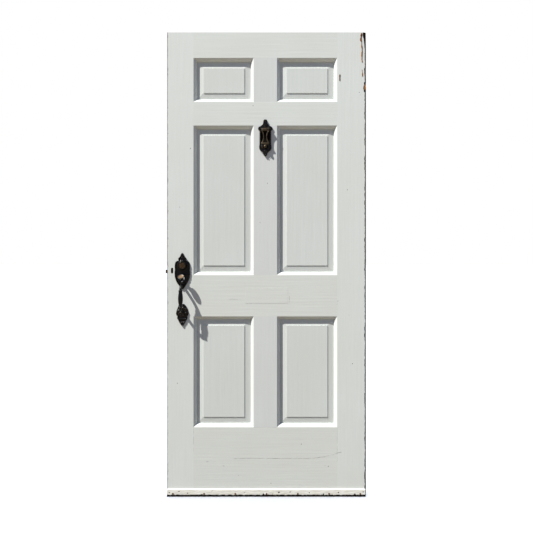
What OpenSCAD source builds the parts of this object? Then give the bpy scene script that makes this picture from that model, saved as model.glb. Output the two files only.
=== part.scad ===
// Six-panel front door leaf with its lock, handle set, hinges and knocker.
// Origin at the middle of the leaf's bottom edge, +Z up, the street side
// faces -Y, the lock edge is at -X and the hinge edge at +X. Millimetres.

/* [Leaf] */
// Width of the whole leaf
door_w = 914.4; // [760:0.1:1100]
// Height of the whole leaf
door_h = 2133.6; // [1770:0.1:2570]
// Thickness of the stiles and rails
door_t = 44.5; // [37:0.1:54]
// Width of the stile that carries the lock
lock_stile_w = 121; // [110:0.1:150]
// Width of the stile on the hinge side
hinge_stile_w = 113.4; // [90:0.1:150]
// Width of the strip planted on the hinge edge
lipping_w = 19; // [12:0.5:30]
// Width of the upright between the panels
mullion_w = 107; // [85:0.1:140]
// Height of the bottom rail
bottom_rail_h = 317.6; // [200:0.1:390]
// Height of the lock rail
lock_rail_h = 190; // [158:0.1:240]
// Height of the frieze rail between the top and middle panels
frieze_rail_h = 109; // [80:0.1:140]
// Height of the top rail
top_rail_h = 117; // [80:0.1:150]
// Height of the bottom panel openings
bottom_open_h = 510; // [420:1:620]
// Height of the top panel openings
top_open_h = 202; // [160:1:250]

/* [Moulding and panels] */
// Width of the moulded edge round each opening
sticking_w = 14; // [10:0.5:18]
// How far the moulded edge swells out of a straight bevel
sticking_swell = 1.1; // [0:0.1:1.8]
// Thickness of the lip that holds the panel
lip_t = 3.25; // [2:0.05:5]
// Width of the panel groove
groove_t = 9; // [7:0.1:15]
// Depth of the panel groove
groove_d = 12; // [8:0.1:13]
// Gap round a panel's tongue in its groove
panel_gap = 0.2; // [0.1:0.05:0.5]
// Width of the bevel round each raised panel
bevel_w = 30; // [20:1:45]
// Thickness of a panel's raised field
field_t = 20.6; // [18:0.1:28]
// Height of the step between bevel and field
field_step = 2; // [1:0.1:3]
// Length of the tenons
tenon_l = 23; // [18:1:24]
// Thickness of the tenons
tenon_t = 12; // [9:0.1:15]
// Gap round tenons, plugs and other fitted pieces
joint_gap = 0.1; // [0.05:0.05:0.3]

/* [Patch and bottom strip] */
// Width of the block that fills the old letter slot
patch_w = 195; // [150:1:240]
// Height of the block that fills the old letter slot
patch_h = 71; // [50:1:80]
// How far the block stands out of the rail
patch_proud = 0.4; // [0:0.1:1]
// Height of the strip nailed along the bottom
strip_h = 35; // [28:1:45]
// Thickness of the bottom strip
strip_t = 6; // [4:0.5:10]
// Number of nails in the bottom strip
nail_count = 7; // [4:1:12]
// Height of the nails above the floor
nail_z = 14; // [8:1:18]

/* [Lock] */
// Distance from the lock edge to the spindle
backset = 69.85; // [66:0.05:73]
// Height of the knob spindle
hub_z = 1012; // [990:1:1030]
// Distance from the spindle up to the key cylinder
cylinder_rise = 50; // [48:1:56]
// Thickness of the lock case
case_t = 16; // [15:0.5:20]
// Height of the lock case
case_h = 150; // [146:1:170]
// Depth of the lock case into the stile
case_d = 92.5; // [89:0.5:93]
// Thickness of the case's sheet steel
case_wall = 1.5; // [1:0.1:2]
// Projection of the latch bolt
latch_throw = 12.7; // [10:0.1:13]
// Throw of the deadbolt
dead_throw = 25.4; // [20:0.1:25.4]
// Radius of the key cylinder
cylinder_r = 14.4; // [12:0.1:16]

/* [Handle set] */
// Distance from the leaf's face to the middle of the grip
grip_standoff = 46; // [40:1:60]
// Largest radius of the grip
grip_r = 11; // [8:0.5:13]
// Height of the middle of the grip
grip_z = 913; // [900:1:930]
// Length between the grip's two bends
grip_l = 70; // [60:1:90]
// Radius of the round thumb pad
pad_r = 15; // [12:0.5:18]
// Slope of the thumb pad
pad_tilt = 36; // [20:1:50]
// Radius of the inside knob
knob_r = 27; // [22:0.5:32]

/* [Knocker] */
// Distance from the frieze rail down to the knocker's hinge
knocker_drop = 17; // [10:1:40]
// Length of the knocker's bars
bar_h = 60; // [45:1:70]
// Radius that the bars curve to
bar_bend_r = 50; // [40:1:80]

/* [Hinges] */
// Height of each hinge
hinge_h = 102; // [76:1:125]
// Width of the leaf let into the edge
hinge_leaf_w = 38; // [28:1:40]
// Thickness of a hinge leaf
hinge_t = 2.5; // [2:0.1:3.5]
// Radius of the hinge pin bore
pin_bore_r = 4; // [3:0.1:4.5]
// Outer radius of the hinge barrel
barrel_r = 6.5; // [6:0.1:8]
// Distance from the top of the leaf to the top hinge's middle
hinge_top = 229; // [150:1:300]
// Distance from the floor to the bottom hinge's middle
hinge_bottom = 305; // [200:1:350]

/* [Hidden] */
$fn = 48;

face = door_t / 2;
eps = 1;

// Lines where the members meet the openings
x_lock_edge = -door_w / 2;
x_open_l = x_lock_edge + lock_stile_w;
x_open_r = door_w / 2 - lipping_w - hinge_stile_w;
open_w = (x_open_r - x_open_l - mullion_w) / 2;
x_mull_l = x_open_l + open_w;
x_mull_r = x_mull_l + mullion_w;
x_mull = (x_mull_l + x_mull_r) / 2;
x_lipping = door_w / 2 - lipping_w;
z_bottom_open = bottom_rail_h;
z_lock_rail = z_bottom_open + bottom_open_h;
z_middle_open = z_lock_rail + lock_rail_h;
z_top_rail = door_h - top_rail_h;
z_top_open = z_top_rail - top_open_h;
z_frieze = z_top_open - frieze_rail_h;
left_x = [x_open_l, x_mull_l];
right_x = [x_mull_r, x_open_r];
bottom_row = [z_bottom_open, z_lock_rail];
middle_row = [z_middle_open, z_frieze];
top_row = [z_top_open, z_top_rail];

// Moulding worked out from the leaf's thickness
sticking_d = (door_t - groove_t) / 2 - lip_t;
sticking_len = sqrt(sticking_w * sticking_w + sticking_d * sticking_d);
sticking_steps = 4;
tongue_t = groove_t - 2 * panel_gap;
tongue_d = groove_d - 1;
bevel_edge_t = field_t - 2 * field_step;
tenon_inset = 22;

// Wood, paint and metal colours
paint = [0.83, 0.83, 0.81];
iron = [0.10, 0.10, 0.10];
steel = [0.60, 0.58, 0.54];
brass = [0.70, 0.55, 0.30];
rust = [0.42, 0.26, 0.17];

// Screws and nails
fit_gap = 0.05;
nail_r = 1.3;
nail_l = 22;
nail_head_r = 3.6;
nail_head_t = 1.2;
nail_inset = (door_w - 2 * 27) / (nail_count - 1);
screw_r = 2;
screw_head_r = 4;

// ---------- helpers ----------

module block(x0, x1, y0, y1, z0, z1) {
  translate([x0, y0, z0]) cube([x1 - x0, y1 - y0, z1 - z0]);
}

// Round bars along each axis
module bar_x(x0, x1, y, z, r) {
  translate([x0, y, z]) rotate([0, 90, 0]) cylinder(h = x1 - x0, r = r);
}
module bar_y(y0, y1, x, z, r) {
  translate([x, y0, z]) rotate([-90, 0, 0]) cylinder(h = y1 - y0, r = r);
}
module bar_z(z0, z1, x, y, r) {
  translate([x, y, z0]) cylinder(h = z1 - z0, r = r);
}

// A flat outline in X and Z given a thickness from y0 to y1
module slab_xz(y0, y1) {
  translate([0, y1, 0]) rotate([90, 0, 0]) linear_extrude(y1 - y0) children();
}
// A flat outline in Y and Z given a width from x0 to x1
module slab_yz(x0, x1) {
  translate([x0, 0, 0]) rotate([90, 0, 90]) linear_extrude(x1 - x0) children();
}

// An outline from its right half, listed from top to bottom
function mirrored(half) =
  concat(half, [for (i = [len(half) - 2:-1:1]) [-half[i][0], half[i][1]]]);

// A turned shape about a line along Y: radius against distance out of the face
module turned_y(x, z) {
  translate([x, 0, z]) rotate([90, 0, 0]) rotate_extrude() children();
}

// A round-headed screw along Y, its head towards -Y
module face_screw(x, z, y_head, length, r = screw_r, head_r = screw_head_r) {
  bar_y(y_head, y_head + length, x, z, r);
  translate([x, y_head, z]) rotate([90, 0, 0]) cylinder(h = 1.6, r1 = head_r, r2 = head_r * 0.6);
}

// ---------- openings, grooves and panels ----------

// How far in and how deep the moulded edge is at each step
sticking_profile = [for (k = [0:sticking_steps]) let (t = k / sticking_steps,
  out = 4 * sticking_swell * t * (1 - t) / sticking_len)
  [sticking_w * t + out * sticking_d, sticking_d * t - out * sticking_w]];

function side_cut(a, way) = concat(
  [[a, -face - eps]],
  [for (p = sticking_profile) [a + way * p[0], -face + p[1]]],
  [for (i = [sticking_steps:-1:0]) [a + way * sticking_profile[i][0], face - sticking_profile[i][1]]],
  [[a, face + eps]]);

function flipped(points) = [for (i = [len(points) - 1:-1:0]) points[i]];
function swapped(points) = [for (p = points) [p[1], p[0]]];

function opening_outline(a0, a1) = concat(side_cut(a0, 1), flipped(side_cut(a1, -1)));

// The hole for one panel, with the moulded edge on both faces
module opening_cut(xs, zs) {
  intersection() {
    translate([0, 0, zs[0] - eps]) linear_extrude(zs[1] - zs[0] + 2 * eps)
      polygon(opening_outline(xs[0], xs[1]));
    slab_yz(xs[0] - eps, xs[1] + eps) polygon(swapped(opening_outline(zs[0], zs[1])));
  }
  block(xs[0] + sticking_w - groove_d, xs[1] - sticking_w + groove_d, -groove_t / 2, groove_t / 2,
    zs[0] + sticking_w - groove_d, zs[1] - sticking_w + groove_d);
}

function panel_side(a, way) = [
  [a + way * (sticking_w - tongue_d), -tongue_t / 2],
  [a + way * sticking_w, -tongue_t / 2],
  [a + way * (sticking_w + bevel_w), -bevel_edge_t / 2],
  [a + way * (sticking_w + bevel_w), -field_t / 2]];

function panel_front(a0, a1) = concat(panel_side(a0, 1), flipped(panel_side(a1, -1)));
function panel_outline(a0, a1) = concat(panel_front(a0, a1),
  flipped([for (p = panel_front(a0, a1)) [p[0], -p[1]]]));

// A raised panel, the same on both faces, held by its tongue
module panel(xs, zs) {
  color(paint) intersection() {
    translate([0, 0, zs[0]]) linear_extrude(zs[1] - zs[0])
      polygon(panel_outline(xs[0], xs[1]));
    slab_yz(xs[0], xs[1]) polygon(swapped(panel_outline(zs[0], zs[1])));
  }
}

// ---------- stiles, rails and mullions ----------

// A stile's outline: its straight back at x_back and mitred mouldings at x_in
module stile_outline(x_back, x_in, way) {
  polygon(concat([[x_back, 0], [x_back, door_h], [x_in, door_h]],
    [for (row = [top_row, middle_row, bottom_row], p = [[0, row[1]], [sticking_w, row[1] - sticking_w],
      [sticking_w, row[0] + sticking_w], [0, row[0]]]) [x_in + way * p[0], p[1]]],
    [[x_in, 0]]));
}

// One long edge of a rail, with the mitred mouldings of two openings on it
function rail_edge(z, out) = [[x_open_l, z], [x_open_l + sticking_w, z + out],
  [x_mull_l - sticking_w, z + out], [x_mull_l, z], [x_mull_r, z],
  [x_mull_r + sticking_w, z + out], [x_open_r - sticking_w, z + out], [x_open_r, z]];
function plain_edge(z) = [[x_open_l, z], [x_open_r, z]];

module rail(z0, z1, edge_below, edge_above) {
  color(paint) difference() {
    union() {
      slab_xz(-face, face) polygon(concat(edge_below, flipped(edge_above)));
      tenons(z0, z1, 0);
    }
    children();
  }
}

// Tenons at both ends of a rail, or their mortises when grown by a gap
module tenons(z0, z1, gap) {
  for (x = [x_open_l, x_open_r]) {
    way = x < 0 ? -1 : 1;
    from = x - way * eps;
    to = x + way * (tenon_l + gap);
    block(min(from, to), max(from, to), -tenon_t / 2 - gap, tenon_t / 2 + gap,
      z0 + tenon_inset - gap, z1 - tenon_inset + gap);
  }
}

rail_spans = [[0, z_bottom_open], [z_lock_rail, z_middle_open], [z_frieze, z_top_open],
  [z_top_rail, door_h]];

module all_mortises() {
  for (span = rail_spans) tenons(span[0], span[1], joint_gap);
}

// Short tenon of a mullion, standing into the rail at height z
module stub(z, way, gap) {
  from = z - way * eps;
  to = z + way * (tenon_l + gap);
  block(x_mull_l + tenon_inset - gap, x_mull_r - tenon_inset + gap,
    -tenon_t / 2 - gap, tenon_t / 2 + gap, min(from, to), max(from, to));
}

module mullion(row) {
  z0 = row[0];
  z1 = row[1];
  color(paint) difference() {
    union() {
      slab_xz(-face, face) polygon([[x_mull_l, z0], [x_mull_r, z0],
        [x_mull_r + sticking_w, z0 + sticking_w], [x_mull_r + sticking_w, z1 - sticking_w],
        [x_mull_r, z1], [x_mull_l, z1],
        [x_mull_l - sticking_w, z1 - sticking_w], [x_mull_l - sticking_w, z0 + sticking_w]]);
      stub(z0, -1, 0);
      stub(z1, 1, 0);
    }
    opening_cut(left_x, row);
    opening_cut(right_x, row);
    children();
  }
}

module lock_stile() {
  color(paint) difference() {
    slab_xz(-face, face) stile_outline(x_lock_edge, x_open_l, 1);
    for (row = [top_row, middle_row, bottom_row]) opening_cut(left_x, row);
    all_mortises();
    lock_pockets();
    strip_nail_holes(x_lock_edge, x_open_l);
  }
}

module hinge_stile() {
  color(paint) difference() {
    slab_xz(-face, face) stile_outline(x_lipping, x_open_r, -1);
    for (row = [top_row, middle_row, bottom_row]) opening_cut(right_x, row);
    all_mortises();
    hinge_screw_shapes(screw_r + fit_gap, 0);
    strip_nail_holes(x_open_r, x_lipping);
  }
}

module hinge_edge_lipping() {
  color(paint) difference() {
    block(x_lipping, door_w / 2, -face, face, 0, door_h);
    hinge_recesses();
    hinge_screw_shapes(screw_r + fit_gap, 0);
    strip_nail_holes(x_lipping, door_w / 2);
  }
}

module bottom_rail() {
  rail(0, z_bottom_open, plain_edge(0), rail_edge(z_bottom_open, sticking_w)) {
    opening_cut(left_x, bottom_row);
    opening_cut(right_x, bottom_row);
    stub(z_bottom_open, -1, joint_gap);
    strip_nail_holes(x_open_l, x_open_r);
  }
}

module lock_rail() {
  rail(z_lock_rail, z_middle_open, rail_edge(z_lock_rail, -sticking_w),
    rail_edge(z_middle_open, sticking_w)) {
    opening_cut(left_x, bottom_row);
    opening_cut(right_x, bottom_row);
    opening_cut(left_x, middle_row);
    opening_cut(right_x, middle_row);
    stub(z_lock_rail, 1, joint_gap);
    stub(z_middle_open, -1, joint_gap);
    patch_block(joint_gap, eps);
  }
}

module frieze_rail() {
  rail(z_frieze, z_top_open, rail_edge(z_frieze, -sticking_w), rail_edge(z_top_open, sticking_w)) {
    opening_cut(left_x, middle_row);
    opening_cut(right_x, middle_row);
    opening_cut(left_x, top_row);
    opening_cut(right_x, top_row);
    stub(z_frieze, 1, joint_gap);
    stub(z_top_open, -1, joint_gap);
    knocker_bolt_shapes(knocker_bolt_r + fit_gap);
  }
}

module top_rail() {
  rail(z_top_rail, door_h, rail_edge(z_top_rail, -sticking_w), plain_edge(door_h)) {
    opening_cut(left_x, top_row);
    opening_cut(right_x, top_row);
    stub(z_top_rail, 1, joint_gap);
  }
}

module top_mullion() mullion(top_row);
module middle_mullion() mullion(middle_row) knocker_bolt_shapes(knocker_bolt_r + fit_gap);
module bottom_mullion() mullion(bottom_row);

module panel_top_left() panel(left_x, top_row);
module panel_top_right() panel(right_x, top_row);
module panel_middle_left() panel(left_x, middle_row);
module panel_middle_right() panel(right_x, middle_row);
module panel_bottom_left() panel(left_x, bottom_row);
module panel_bottom_right() panel(right_x, bottom_row);

// ---------- patch and bottom strip ----------

patch_z = z_lock_rail + lock_rail_h / 2;

module patch_block(gap, past) {
  block(-patch_w / 2 - gap, patch_w / 2 + gap, -face - past, face + past,
    patch_z - patch_h / 2 - gap, patch_z + patch_h / 2 + gap);
}

module letter_slot_patch() {
  color(paint) patch_block(0, patch_proud);
}

strip_chamfer = 3.5;

module bottom_strip() {
  color(paint) difference() {
    slab_yz(x_lock_edge, door_w / 2) polygon([[-face, 0], [-face, strip_h],
      [-face - strip_t + strip_chamfer, strip_h], [-face - strip_t, strip_h - strip_chamfer],
      [-face - strip_t, 0]]);
    strip_nail_holes(x_lock_edge, door_w / 2);
  }
}

function nail_x(i) = x_lock_edge + 27 + i * nail_inset;

// Holes for those nails that fall between x0 and x1
module strip_nail_holes(x0, x1) {
  for (i = [0:nail_count - 1]) {
    if (nail_x(i) > x0 && nail_x(i) < x1)
      bar_y(-face - strip_t - eps, -face - strip_t + nail_l + fit_gap, nail_x(i), nail_z,
        nail_r + fit_gap);
  }
}

module bottom_strip_nails() {
  color(rust) for (i = [0:nail_count - 1]) {
    bar_y(-face - strip_t, -face - strip_t + nail_l, nail_x(i), nail_z, nail_r);
    bar_y(-face - strip_t - nail_head_t, -face - strip_t, nail_x(i), nail_z, nail_head_r);
  }
}

// ---------- hinges ----------

hinge_zs = [door_h - hinge_top, (door_h - hinge_top + hinge_bottom) / 2, hinge_bottom];
hinge_axis_x = door_w / 2 + 1;
hinge_axis_y = face + barrel_r + 0.75;
knuckle_h = hinge_h / 5;
knuckle_gap = 0.3;
hinge_screw_l = 25;

module hinge_recesses() {
  for (z = hinge_zs) block(door_w / 2 - hinge_t - joint_gap, door_w / 2 + eps,
    face - hinge_leaf_w - joint_gap, face + eps, z - hinge_h / 2 - joint_gap, z + hinge_h / 2 + joint_gap);
}

// Shanks of every hinge screw, with a countersunk head when head_r is given
module hinge_screw_shapes(r, head_r) {
  for (z = hinge_zs, row = [0:3]) {
    y = face - hinge_leaf_w + (row % 2 == 0 ? 11 : 23);
    screw_z = z + (row - 1.5) * hinge_h / 4.4;
    bar_x(door_w / 2 - hinge_screw_l, door_w / 2 - 0.2, y, screw_z, r);
    if (head_r > 0)
      translate([door_w / 2 - hinge_t, y, screw_z]) rotate([0, 90, 0])
        cylinder(h = hinge_t - 0.2, r1 = r, r2 = head_r);
  }
}

// The half of a loose-pin hinge that stays on the leaf, with two knuckles
module hinge_leaf(z) {
  color(steel) difference() {
    union() {
      block(door_w / 2 - hinge_t, door_w / 2, face - hinge_leaf_w, face + 0.5,
        z - hinge_h / 2, z + hinge_h / 2);
      for (k = [-1, 1]) {
        k0 = z + k * knuckle_h - knuckle_h / 2 + knuckle_gap;
        k1 = z + k * knuckle_h + knuckle_h / 2 - knuckle_gap;
        bar_z(k0, k1, hinge_axis_x, hinge_axis_y, barrel_r);
        block(door_w / 2 - hinge_t, door_w / 2, face, hinge_axis_y, k0, k1);
      }
    }
    bar_z(z - hinge_h, z + hinge_h, hinge_axis_x, hinge_axis_y, pin_bore_r);
    hinge_screw_shapes(screw_r + fit_gap, screw_head_r + fit_gap);
  }
}
module hinge_leaf_top() hinge_leaf(hinge_zs[0]);
module hinge_leaf_middle() hinge_leaf(hinge_zs[1]);
module hinge_leaf_bottom() hinge_leaf(hinge_zs[2]);
module hinge_screws() {
  color(steel) hinge_screw_shapes(screw_r, screw_head_r);
}

// ---------- mortise lock ----------

lock_x = x_lock_edge + backset;
cyl_z = hub_z + cylinder_rise;
front_t = 3;
front_w = 25.4;
front_h = 178;
lock_mid_z = hub_z + 21;
case_x0 = x_lock_edge + front_t;
case_x1 = case_x0 + case_d;
case_z0 = lock_mid_z - case_h / 2;
case_z1 = lock_mid_z + case_h / 2;
in_y = case_t / 2 - case_wall;
pocket_gap = 0.5;
latch_z = lock_mid_z;
latch_h = 16;
latch_t = 12;
dead_z = cyl_z + 20;
dead_h = 20;
dead_t = 10;
bolt_gap = 0.35;
spindle_s = 8;
spindle_gap = 0.05;
turn_s = 5;
front_screw_rise = 80;
front_screw_l = 30;
case_post_r = 2.4;
case_posts = [[case_x0 + 10, case_z0 + 12], [case_x1 - 8, case_z0 + 12], [case_x1 - 8, case_z1 - 8]];

// A square bar along Y
module square_bar(y0, y1, x, z, s) {
  block(x - s / 2, x + s / 2, y0, y1, z - s / 2, z + s / 2);
}

// Everything cut out of the lock stile for the lock and its furniture
module lock_pockets() {
  block(x_lock_edge - eps, case_x1 + pocket_gap, -case_t / 2 - pocket_gap, case_t / 2 + pocket_gap,
    case_z0 - pocket_gap, case_z1 + pocket_gap);
  block(x_lock_edge - eps, case_x0, -front_w / 2 - joint_gap, front_w / 2 + joint_gap,
    lock_mid_z - front_h / 2 - joint_gap, lock_mid_z + front_h / 2 + joint_gap);
  bar_y(-face - eps, 0, lock_x, cyl_z, cylinder_r + 0.6);
  bar_y(0, face + eps, lock_x, cyl_z, 6);
  bar_y(0, face + eps, lock_x, hub_z, 9);
  block(lock_x - 19, lock_x + 6, -face - eps, 0, hub_z - 22, hub_z + 4);
  old_hole();
  for (way = [-1, 1]) bar_x(case_x0 - eps, case_x0 + front_screw_l, 0,
    lock_mid_z + way * front_screw_rise, screw_r + fit_gap);
  outer_screw_shapes(screw_r + fit_gap, 0);
  inner_screw_shapes(screw_r + fit_gap, 0);
  for (z = grip_root_zs) bar_y(-face - eps, -face + grip_stud_l + 1, lock_x, z, 3.1);
}

// An oblong hole left by an earlier latch
module old_hole() {
  for (z = [-8, 8]) bar_y(-face - eps, -case_t / 2, x_lock_edge + 22.5, latch_z + 5 + z, 5.3);
  block(x_lock_edge + 22.5 - 5.3, x_lock_edge + 22.5 + 5.3, -face - eps, -case_t / 2,
    latch_z - 3, latch_z + 13);
}

module lock_case() {
  color(steel) difference() {
    union() {
      difference() {
        block(case_x0, case_x1, -case_t / 2, case_t / 2 - case_wall, case_z0, case_z1);
        block(case_x0 + case_wall, case_x1 - case_wall, -in_y, case_t / 2,
          case_z0 + case_wall, case_z1 - case_wall);
      }
      for (p = case_posts) bar_y(-in_y - 0.5, in_y, p[0], p[1], case_post_r + 1.2);
      difference() {
        block(spring_stop_x, spring_stop_x + 2.5, -in_y - 0.5, in_y, latch_z - 8, latch_z + 8);
        bar_x(spring_stop_x - eps, spring_stop_x + 4, 0, latch_z, latch_rod_r + 0.5);
      }
    }
    for (p = case_posts) bar_y(-in_y + 1, case_t, p[0], p[1], case_post_r - 0.9);
    bar_y(-case_t, 0, lock_x, cyl_z, cylinder_r + bolt_gap);
    block(lock_x - 19, lock_x + 6, -case_t, -in_y + 0.5, hub_z - 22, hub_z + 4);
    bolt_holes(case_x0 - eps, case_x0 + case_wall + eps);
  }
}

module bolt_holes(x0, x1) {
  block(x0, x1, -latch_t / 2 - bolt_gap, latch_t / 2 + bolt_gap,
    latch_z - latch_h / 2 - bolt_gap, latch_z + latch_h / 2 + bolt_gap);
  block(x0, x1, -dead_t / 2 - bolt_gap, dead_t / 2 + bolt_gap,
    dead_z - dead_h / 2 - bolt_gap, dead_z + dead_h / 2 + bolt_gap);
}

module case_cap() {
  color(steel) difference() {
    block(case_x0, case_x1, in_y, in_y + case_wall, case_z0, case_z1);
    bar_y(0, case_t, lock_x, hub_z, hub_journal_r + 0.05);
    bar_y(0, case_t, lock_x, cyl_z, cam_journal_r + 0.05);
    for (p = case_posts) bar_y(0, case_t, p[0], p[1], case_post_r - 0.9);
  }
}

module case_screws() {
  color(steel) for (p = case_posts) {
    bar_y(0, in_y + case_wall, p[0], p[1], case_post_r - 0.95);
  }
}

module lock_front() {
  color(brass) difference() {
    block(x_lock_edge, case_x0, -front_w / 2, front_w / 2,
      lock_mid_z - front_h / 2, lock_mid_z + front_h / 2);
    bolt_holes(x_lock_edge - eps, case_x0 + eps);
    for (way = [-1, 1]) translate([x_lock_edge - 0.01, 0, lock_mid_z + way * front_screw_rise])
      rotate([0, 90, 0]) cylinder(h = front_t + 0.02, r1 = screw_head_r + fit_gap, r2 = screw_r + fit_gap);
  }
}

module front_screws() {
  color(brass) for (way = [-1, 1]) {
    z = lock_mid_z + way * front_screw_rise;
    translate([x_lock_edge, 0, z]) rotate([0, 90, 0])
      cylinder(h = front_t, r1 = screw_head_r, r2 = screw_r);
    bar_x(x_lock_edge + front_t, case_x0 + front_screw_l - eps, 0, z, screw_r);
  }
}

latch_head_l = 26;
latch_rod_r = 2.5;
latch_nose_x = x_lock_edge - latch_throw;
latch_back_x = latch_nose_x + latch_head_l;
spring_stop_x = lock_x - 18;
lug_x = lock_x + 4.2;
lug_t = 4;

// Bevelled latch bolt: head, round rod, flat tail and the lug that the hub pushes
module latch_bolt() {
  color(brass) {
    translate([0, 0, latch_z - latch_h / 2]) linear_extrude(latch_h)
      polygon([[latch_back_x, -latch_t / 2], [latch_back_x, latch_t / 2],
        [latch_nose_x, latch_t / 2], [latch_nose_x, latch_t / 2 - 2.5],
        [latch_nose_x + latch_throw - 1.5, -latch_t / 2]]);
    bar_x(latch_back_x - 0.5, spring_stop_x + 9, 0, latch_z, latch_rod_r);
    block(spring_stop_x + 7, lug_x + lug_t, -5, -1, latch_z - 4, latch_z + 4);
    block(lug_x, lug_x + lug_t, -5, 5, latch_z - 9, latch_z + 4);
  }
}

// Coil spring between the latch head and its stop, as a swept wire
spring_turns = 7;
spring_r = 3.7;
wire_r = 0.55;
wire_sides = 6;
spring_rings = spring_turns * 12;
spring_l = spring_stop_x - latch_back_x - 2 * wire_r - 0.6;

function spring_point(i, j) = let (
  turn = 360 * spring_turns * i / spring_rings,
  around = 360 * j / wire_sides,
  r = spring_r + wire_r * cos(around))
  [latch_back_x + wire_r + 0.3 + spring_l * i / spring_rings + wire_r * sin(around),
   r * cos(turn), latch_z + r * sin(turn)];

module latch_spring() {
  points = [for (i = [0:spring_rings], j = [0:wire_sides - 1]) spring_point(i, j)];
  last = spring_rings * wire_sides;
  sides = [for (i = [0:spring_rings - 1], j = [0:wire_sides - 1]) let (k = (j + 1) % wire_sides)
    [i * wire_sides + j, i * wire_sides + k, (i + 1) * wire_sides + k, (i + 1) * wire_sides + j]];
  ends = [[for (j = [wire_sides - 1:-1:0]) j], [for (j = [0:wire_sides - 1]) last + j]];
  color(steel) polyhedron(points, concat(sides, ends));
}

cam_arm = 18;
cam_pin_r = 2.5;
cam_r = 8;
cam_journal_r = 5;
dead_head_x = x_lock_edge + 33;
dead_notch_x = lock_x + cam_arm * sin(45);
dead_notch_w = 2 * (cam_pin_r + 0.85);

// Square deadbolt, drawn back, with a notch that the cam's pin works in
module deadbolt() {
  color(brass) difference() {
    union() {
      block(x_lock_edge + 0.2, dead_head_x, -dead_t / 2, dead_t / 2,
        dead_z - dead_h / 2, dead_z + dead_h / 2);
      block(dead_head_x - eps, dead_notch_x + 7.5, -1, dead_t / 2,
        dead_z - dead_h / 2, dead_z + dead_h / 2);
    }
    block(dead_notch_x - dead_notch_w / 2, dead_notch_x + dead_notch_w / 2, -2, dead_t,
      dead_z - dead_h, cyl_z + cam_arm + cam_pin_r + 1.5);
  }
}

hub_r = 9;
hub_journal_r = 7;
hub_arm = 22;
hub_lift = 18;
hub_lift_h = 3;

// Hub with the arm that draws the latch and the lug that the thumb press lifts
module latch_hub() {
  color(steel) difference() {
    union() {
      bar_y(0.8, in_y - 0.3, lock_x, hub_z, hub_r);
      bar_y(in_y - 1, in_y + case_wall, lock_x, hub_z, hub_journal_r);
      block(lock_x - 3, lock_x + 3, 0.8, 5, hub_z + 7, hub_z + hub_arm);
      block(lock_x - hub_lift, lock_x - 6, 0.8, in_y - 0.3, hub_z - hub_lift_h, hub_z + hub_lift_h);
      block(lock_x - hub_lift, lock_x - hub_lift + 5, -in_y + 0.5, in_y - 0.3,
        hub_z - hub_lift_h, hub_z + hub_lift_h);
    }
    square_bar(0, case_t, lock_x, hub_z, spindle_s + 2 * spindle_gap);
  }
}

// Cam on the cylinder's line, its arm starting at 45 degrees towards the hinges
module deadbolt_cam() {
  color(steel) difference() {
    union() {
      bar_y(-in_y + 1, in_y - 0.3, lock_x, cyl_z, cam_r);
      bar_y(in_y - 1, in_y + case_wall, lock_x, cyl_z, cam_journal_r);
      translate([lock_x, 0, cyl_z]) rotate([0, 45, 0]) {
        block(-2.1, 2.1, -in_y + 1.3, -2, 3, cam_arm);
        bar_y(-in_y + 1.6, 4, 0, cam_arm, cam_pin_r);
      }
    }
    square_bar(-in_y, case_t, lock_x, cyl_z, turn_s + 2 * spindle_gap);
  }
}

// ---------- outside furniture ----------

plate_t = 6;
upper_half = [[0, 58], [4.5, 55], [8, 48], [11, 41], [19, 32], [20, 28], [16, 23], [23, 20.5],
  [31, 17], [34, 8], [35.5, -6], [34.5, -20], [36, -34], [35, -52], [31, -66], [25, -79],
  [16, -92], [9, -103], [3, -110], [0, -112]];
lower_z = grip_z - 68;
lower_half = [[0, 40], [9, 39.5], [15, 33], [20, 27], [22, 20], [26.5, 10], [29.5, -4], [27, -12],
  [22, -17], [24, -22], [23.5, -27], [18, -37], [12, -48], [8, -55], [3, -61], [0, -62]];
grip_bend = 24;
grip_root_zs = [grip_z + grip_l / 2 + grip_bend, grip_z - grip_l / 2 - grip_bend];
grip_y = -face - grip_standoff;
grip_stud_l = 12;
root_r = 7;
collar_r = 19.5;
collar_t = 9;
pivot_y = -face - 10;
pivot_z = hub_z - 14;
pivot_r = 1.5;
ear_w = 4;
lever_w = 9;
ear_gap = 0.3;
upper_screw_z = cyl_z + 33;
lower_screw_z = lower_z - 46;

module upper_escutcheon() {
  color(iron) difference() {
    union() {
      slab_xz(-face - plate_t * 0.6, -face) translate([lock_x, cyl_z]) polygon(mirrored(upper_half));
      slab_xz(-face - plate_t, -face) translate([lock_x, cyl_z]) scale(0.82) polygon(mirrored(upper_half));
      for (way = [-1, 1]) {
        x0 = lock_x + way * (lever_w / 2 + ear_gap + ear_w / 2) - ear_w / 2;
        block(x0, x0 + ear_w, pivot_y, -face - plate_t / 2, pivot_z - 4, pivot_z + 4);
        bar_x(x0, x0 + ear_w, pivot_y, pivot_z, 4);
      }
    }
    bar_y(-face - 20, 0, lock_x, cyl_z, cylinder_r + bolt_gap);
    block(lock_x - lever_w / 2 - ear_gap, lock_x + lever_w / 2 + ear_gap, -face - 20, 0,
      hub_z - 20, hub_z + 2);
    bar_x(lock_x - 15, lock_x + 15, pivot_y, pivot_z, pivot_r);
    outer_screw_shapes(screw_r + fit_gap, 0);
    bar_y(-face - 20, 0, lock_x, grip_root_zs[0], 3.1);
  }
}

module cylinder_collar() {
  color(iron) turned_y(lock_x, cyl_z) polygon([[cylinder_r + bolt_gap, face + plate_t],
    [collar_r, face + plate_t], [collar_r, face + plate_t + collar_t - 2],
    [collar_r - 2, face + plate_t + collar_t], [cylinder_r + bolt_gap, face + plate_t + collar_t]]);
}

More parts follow.
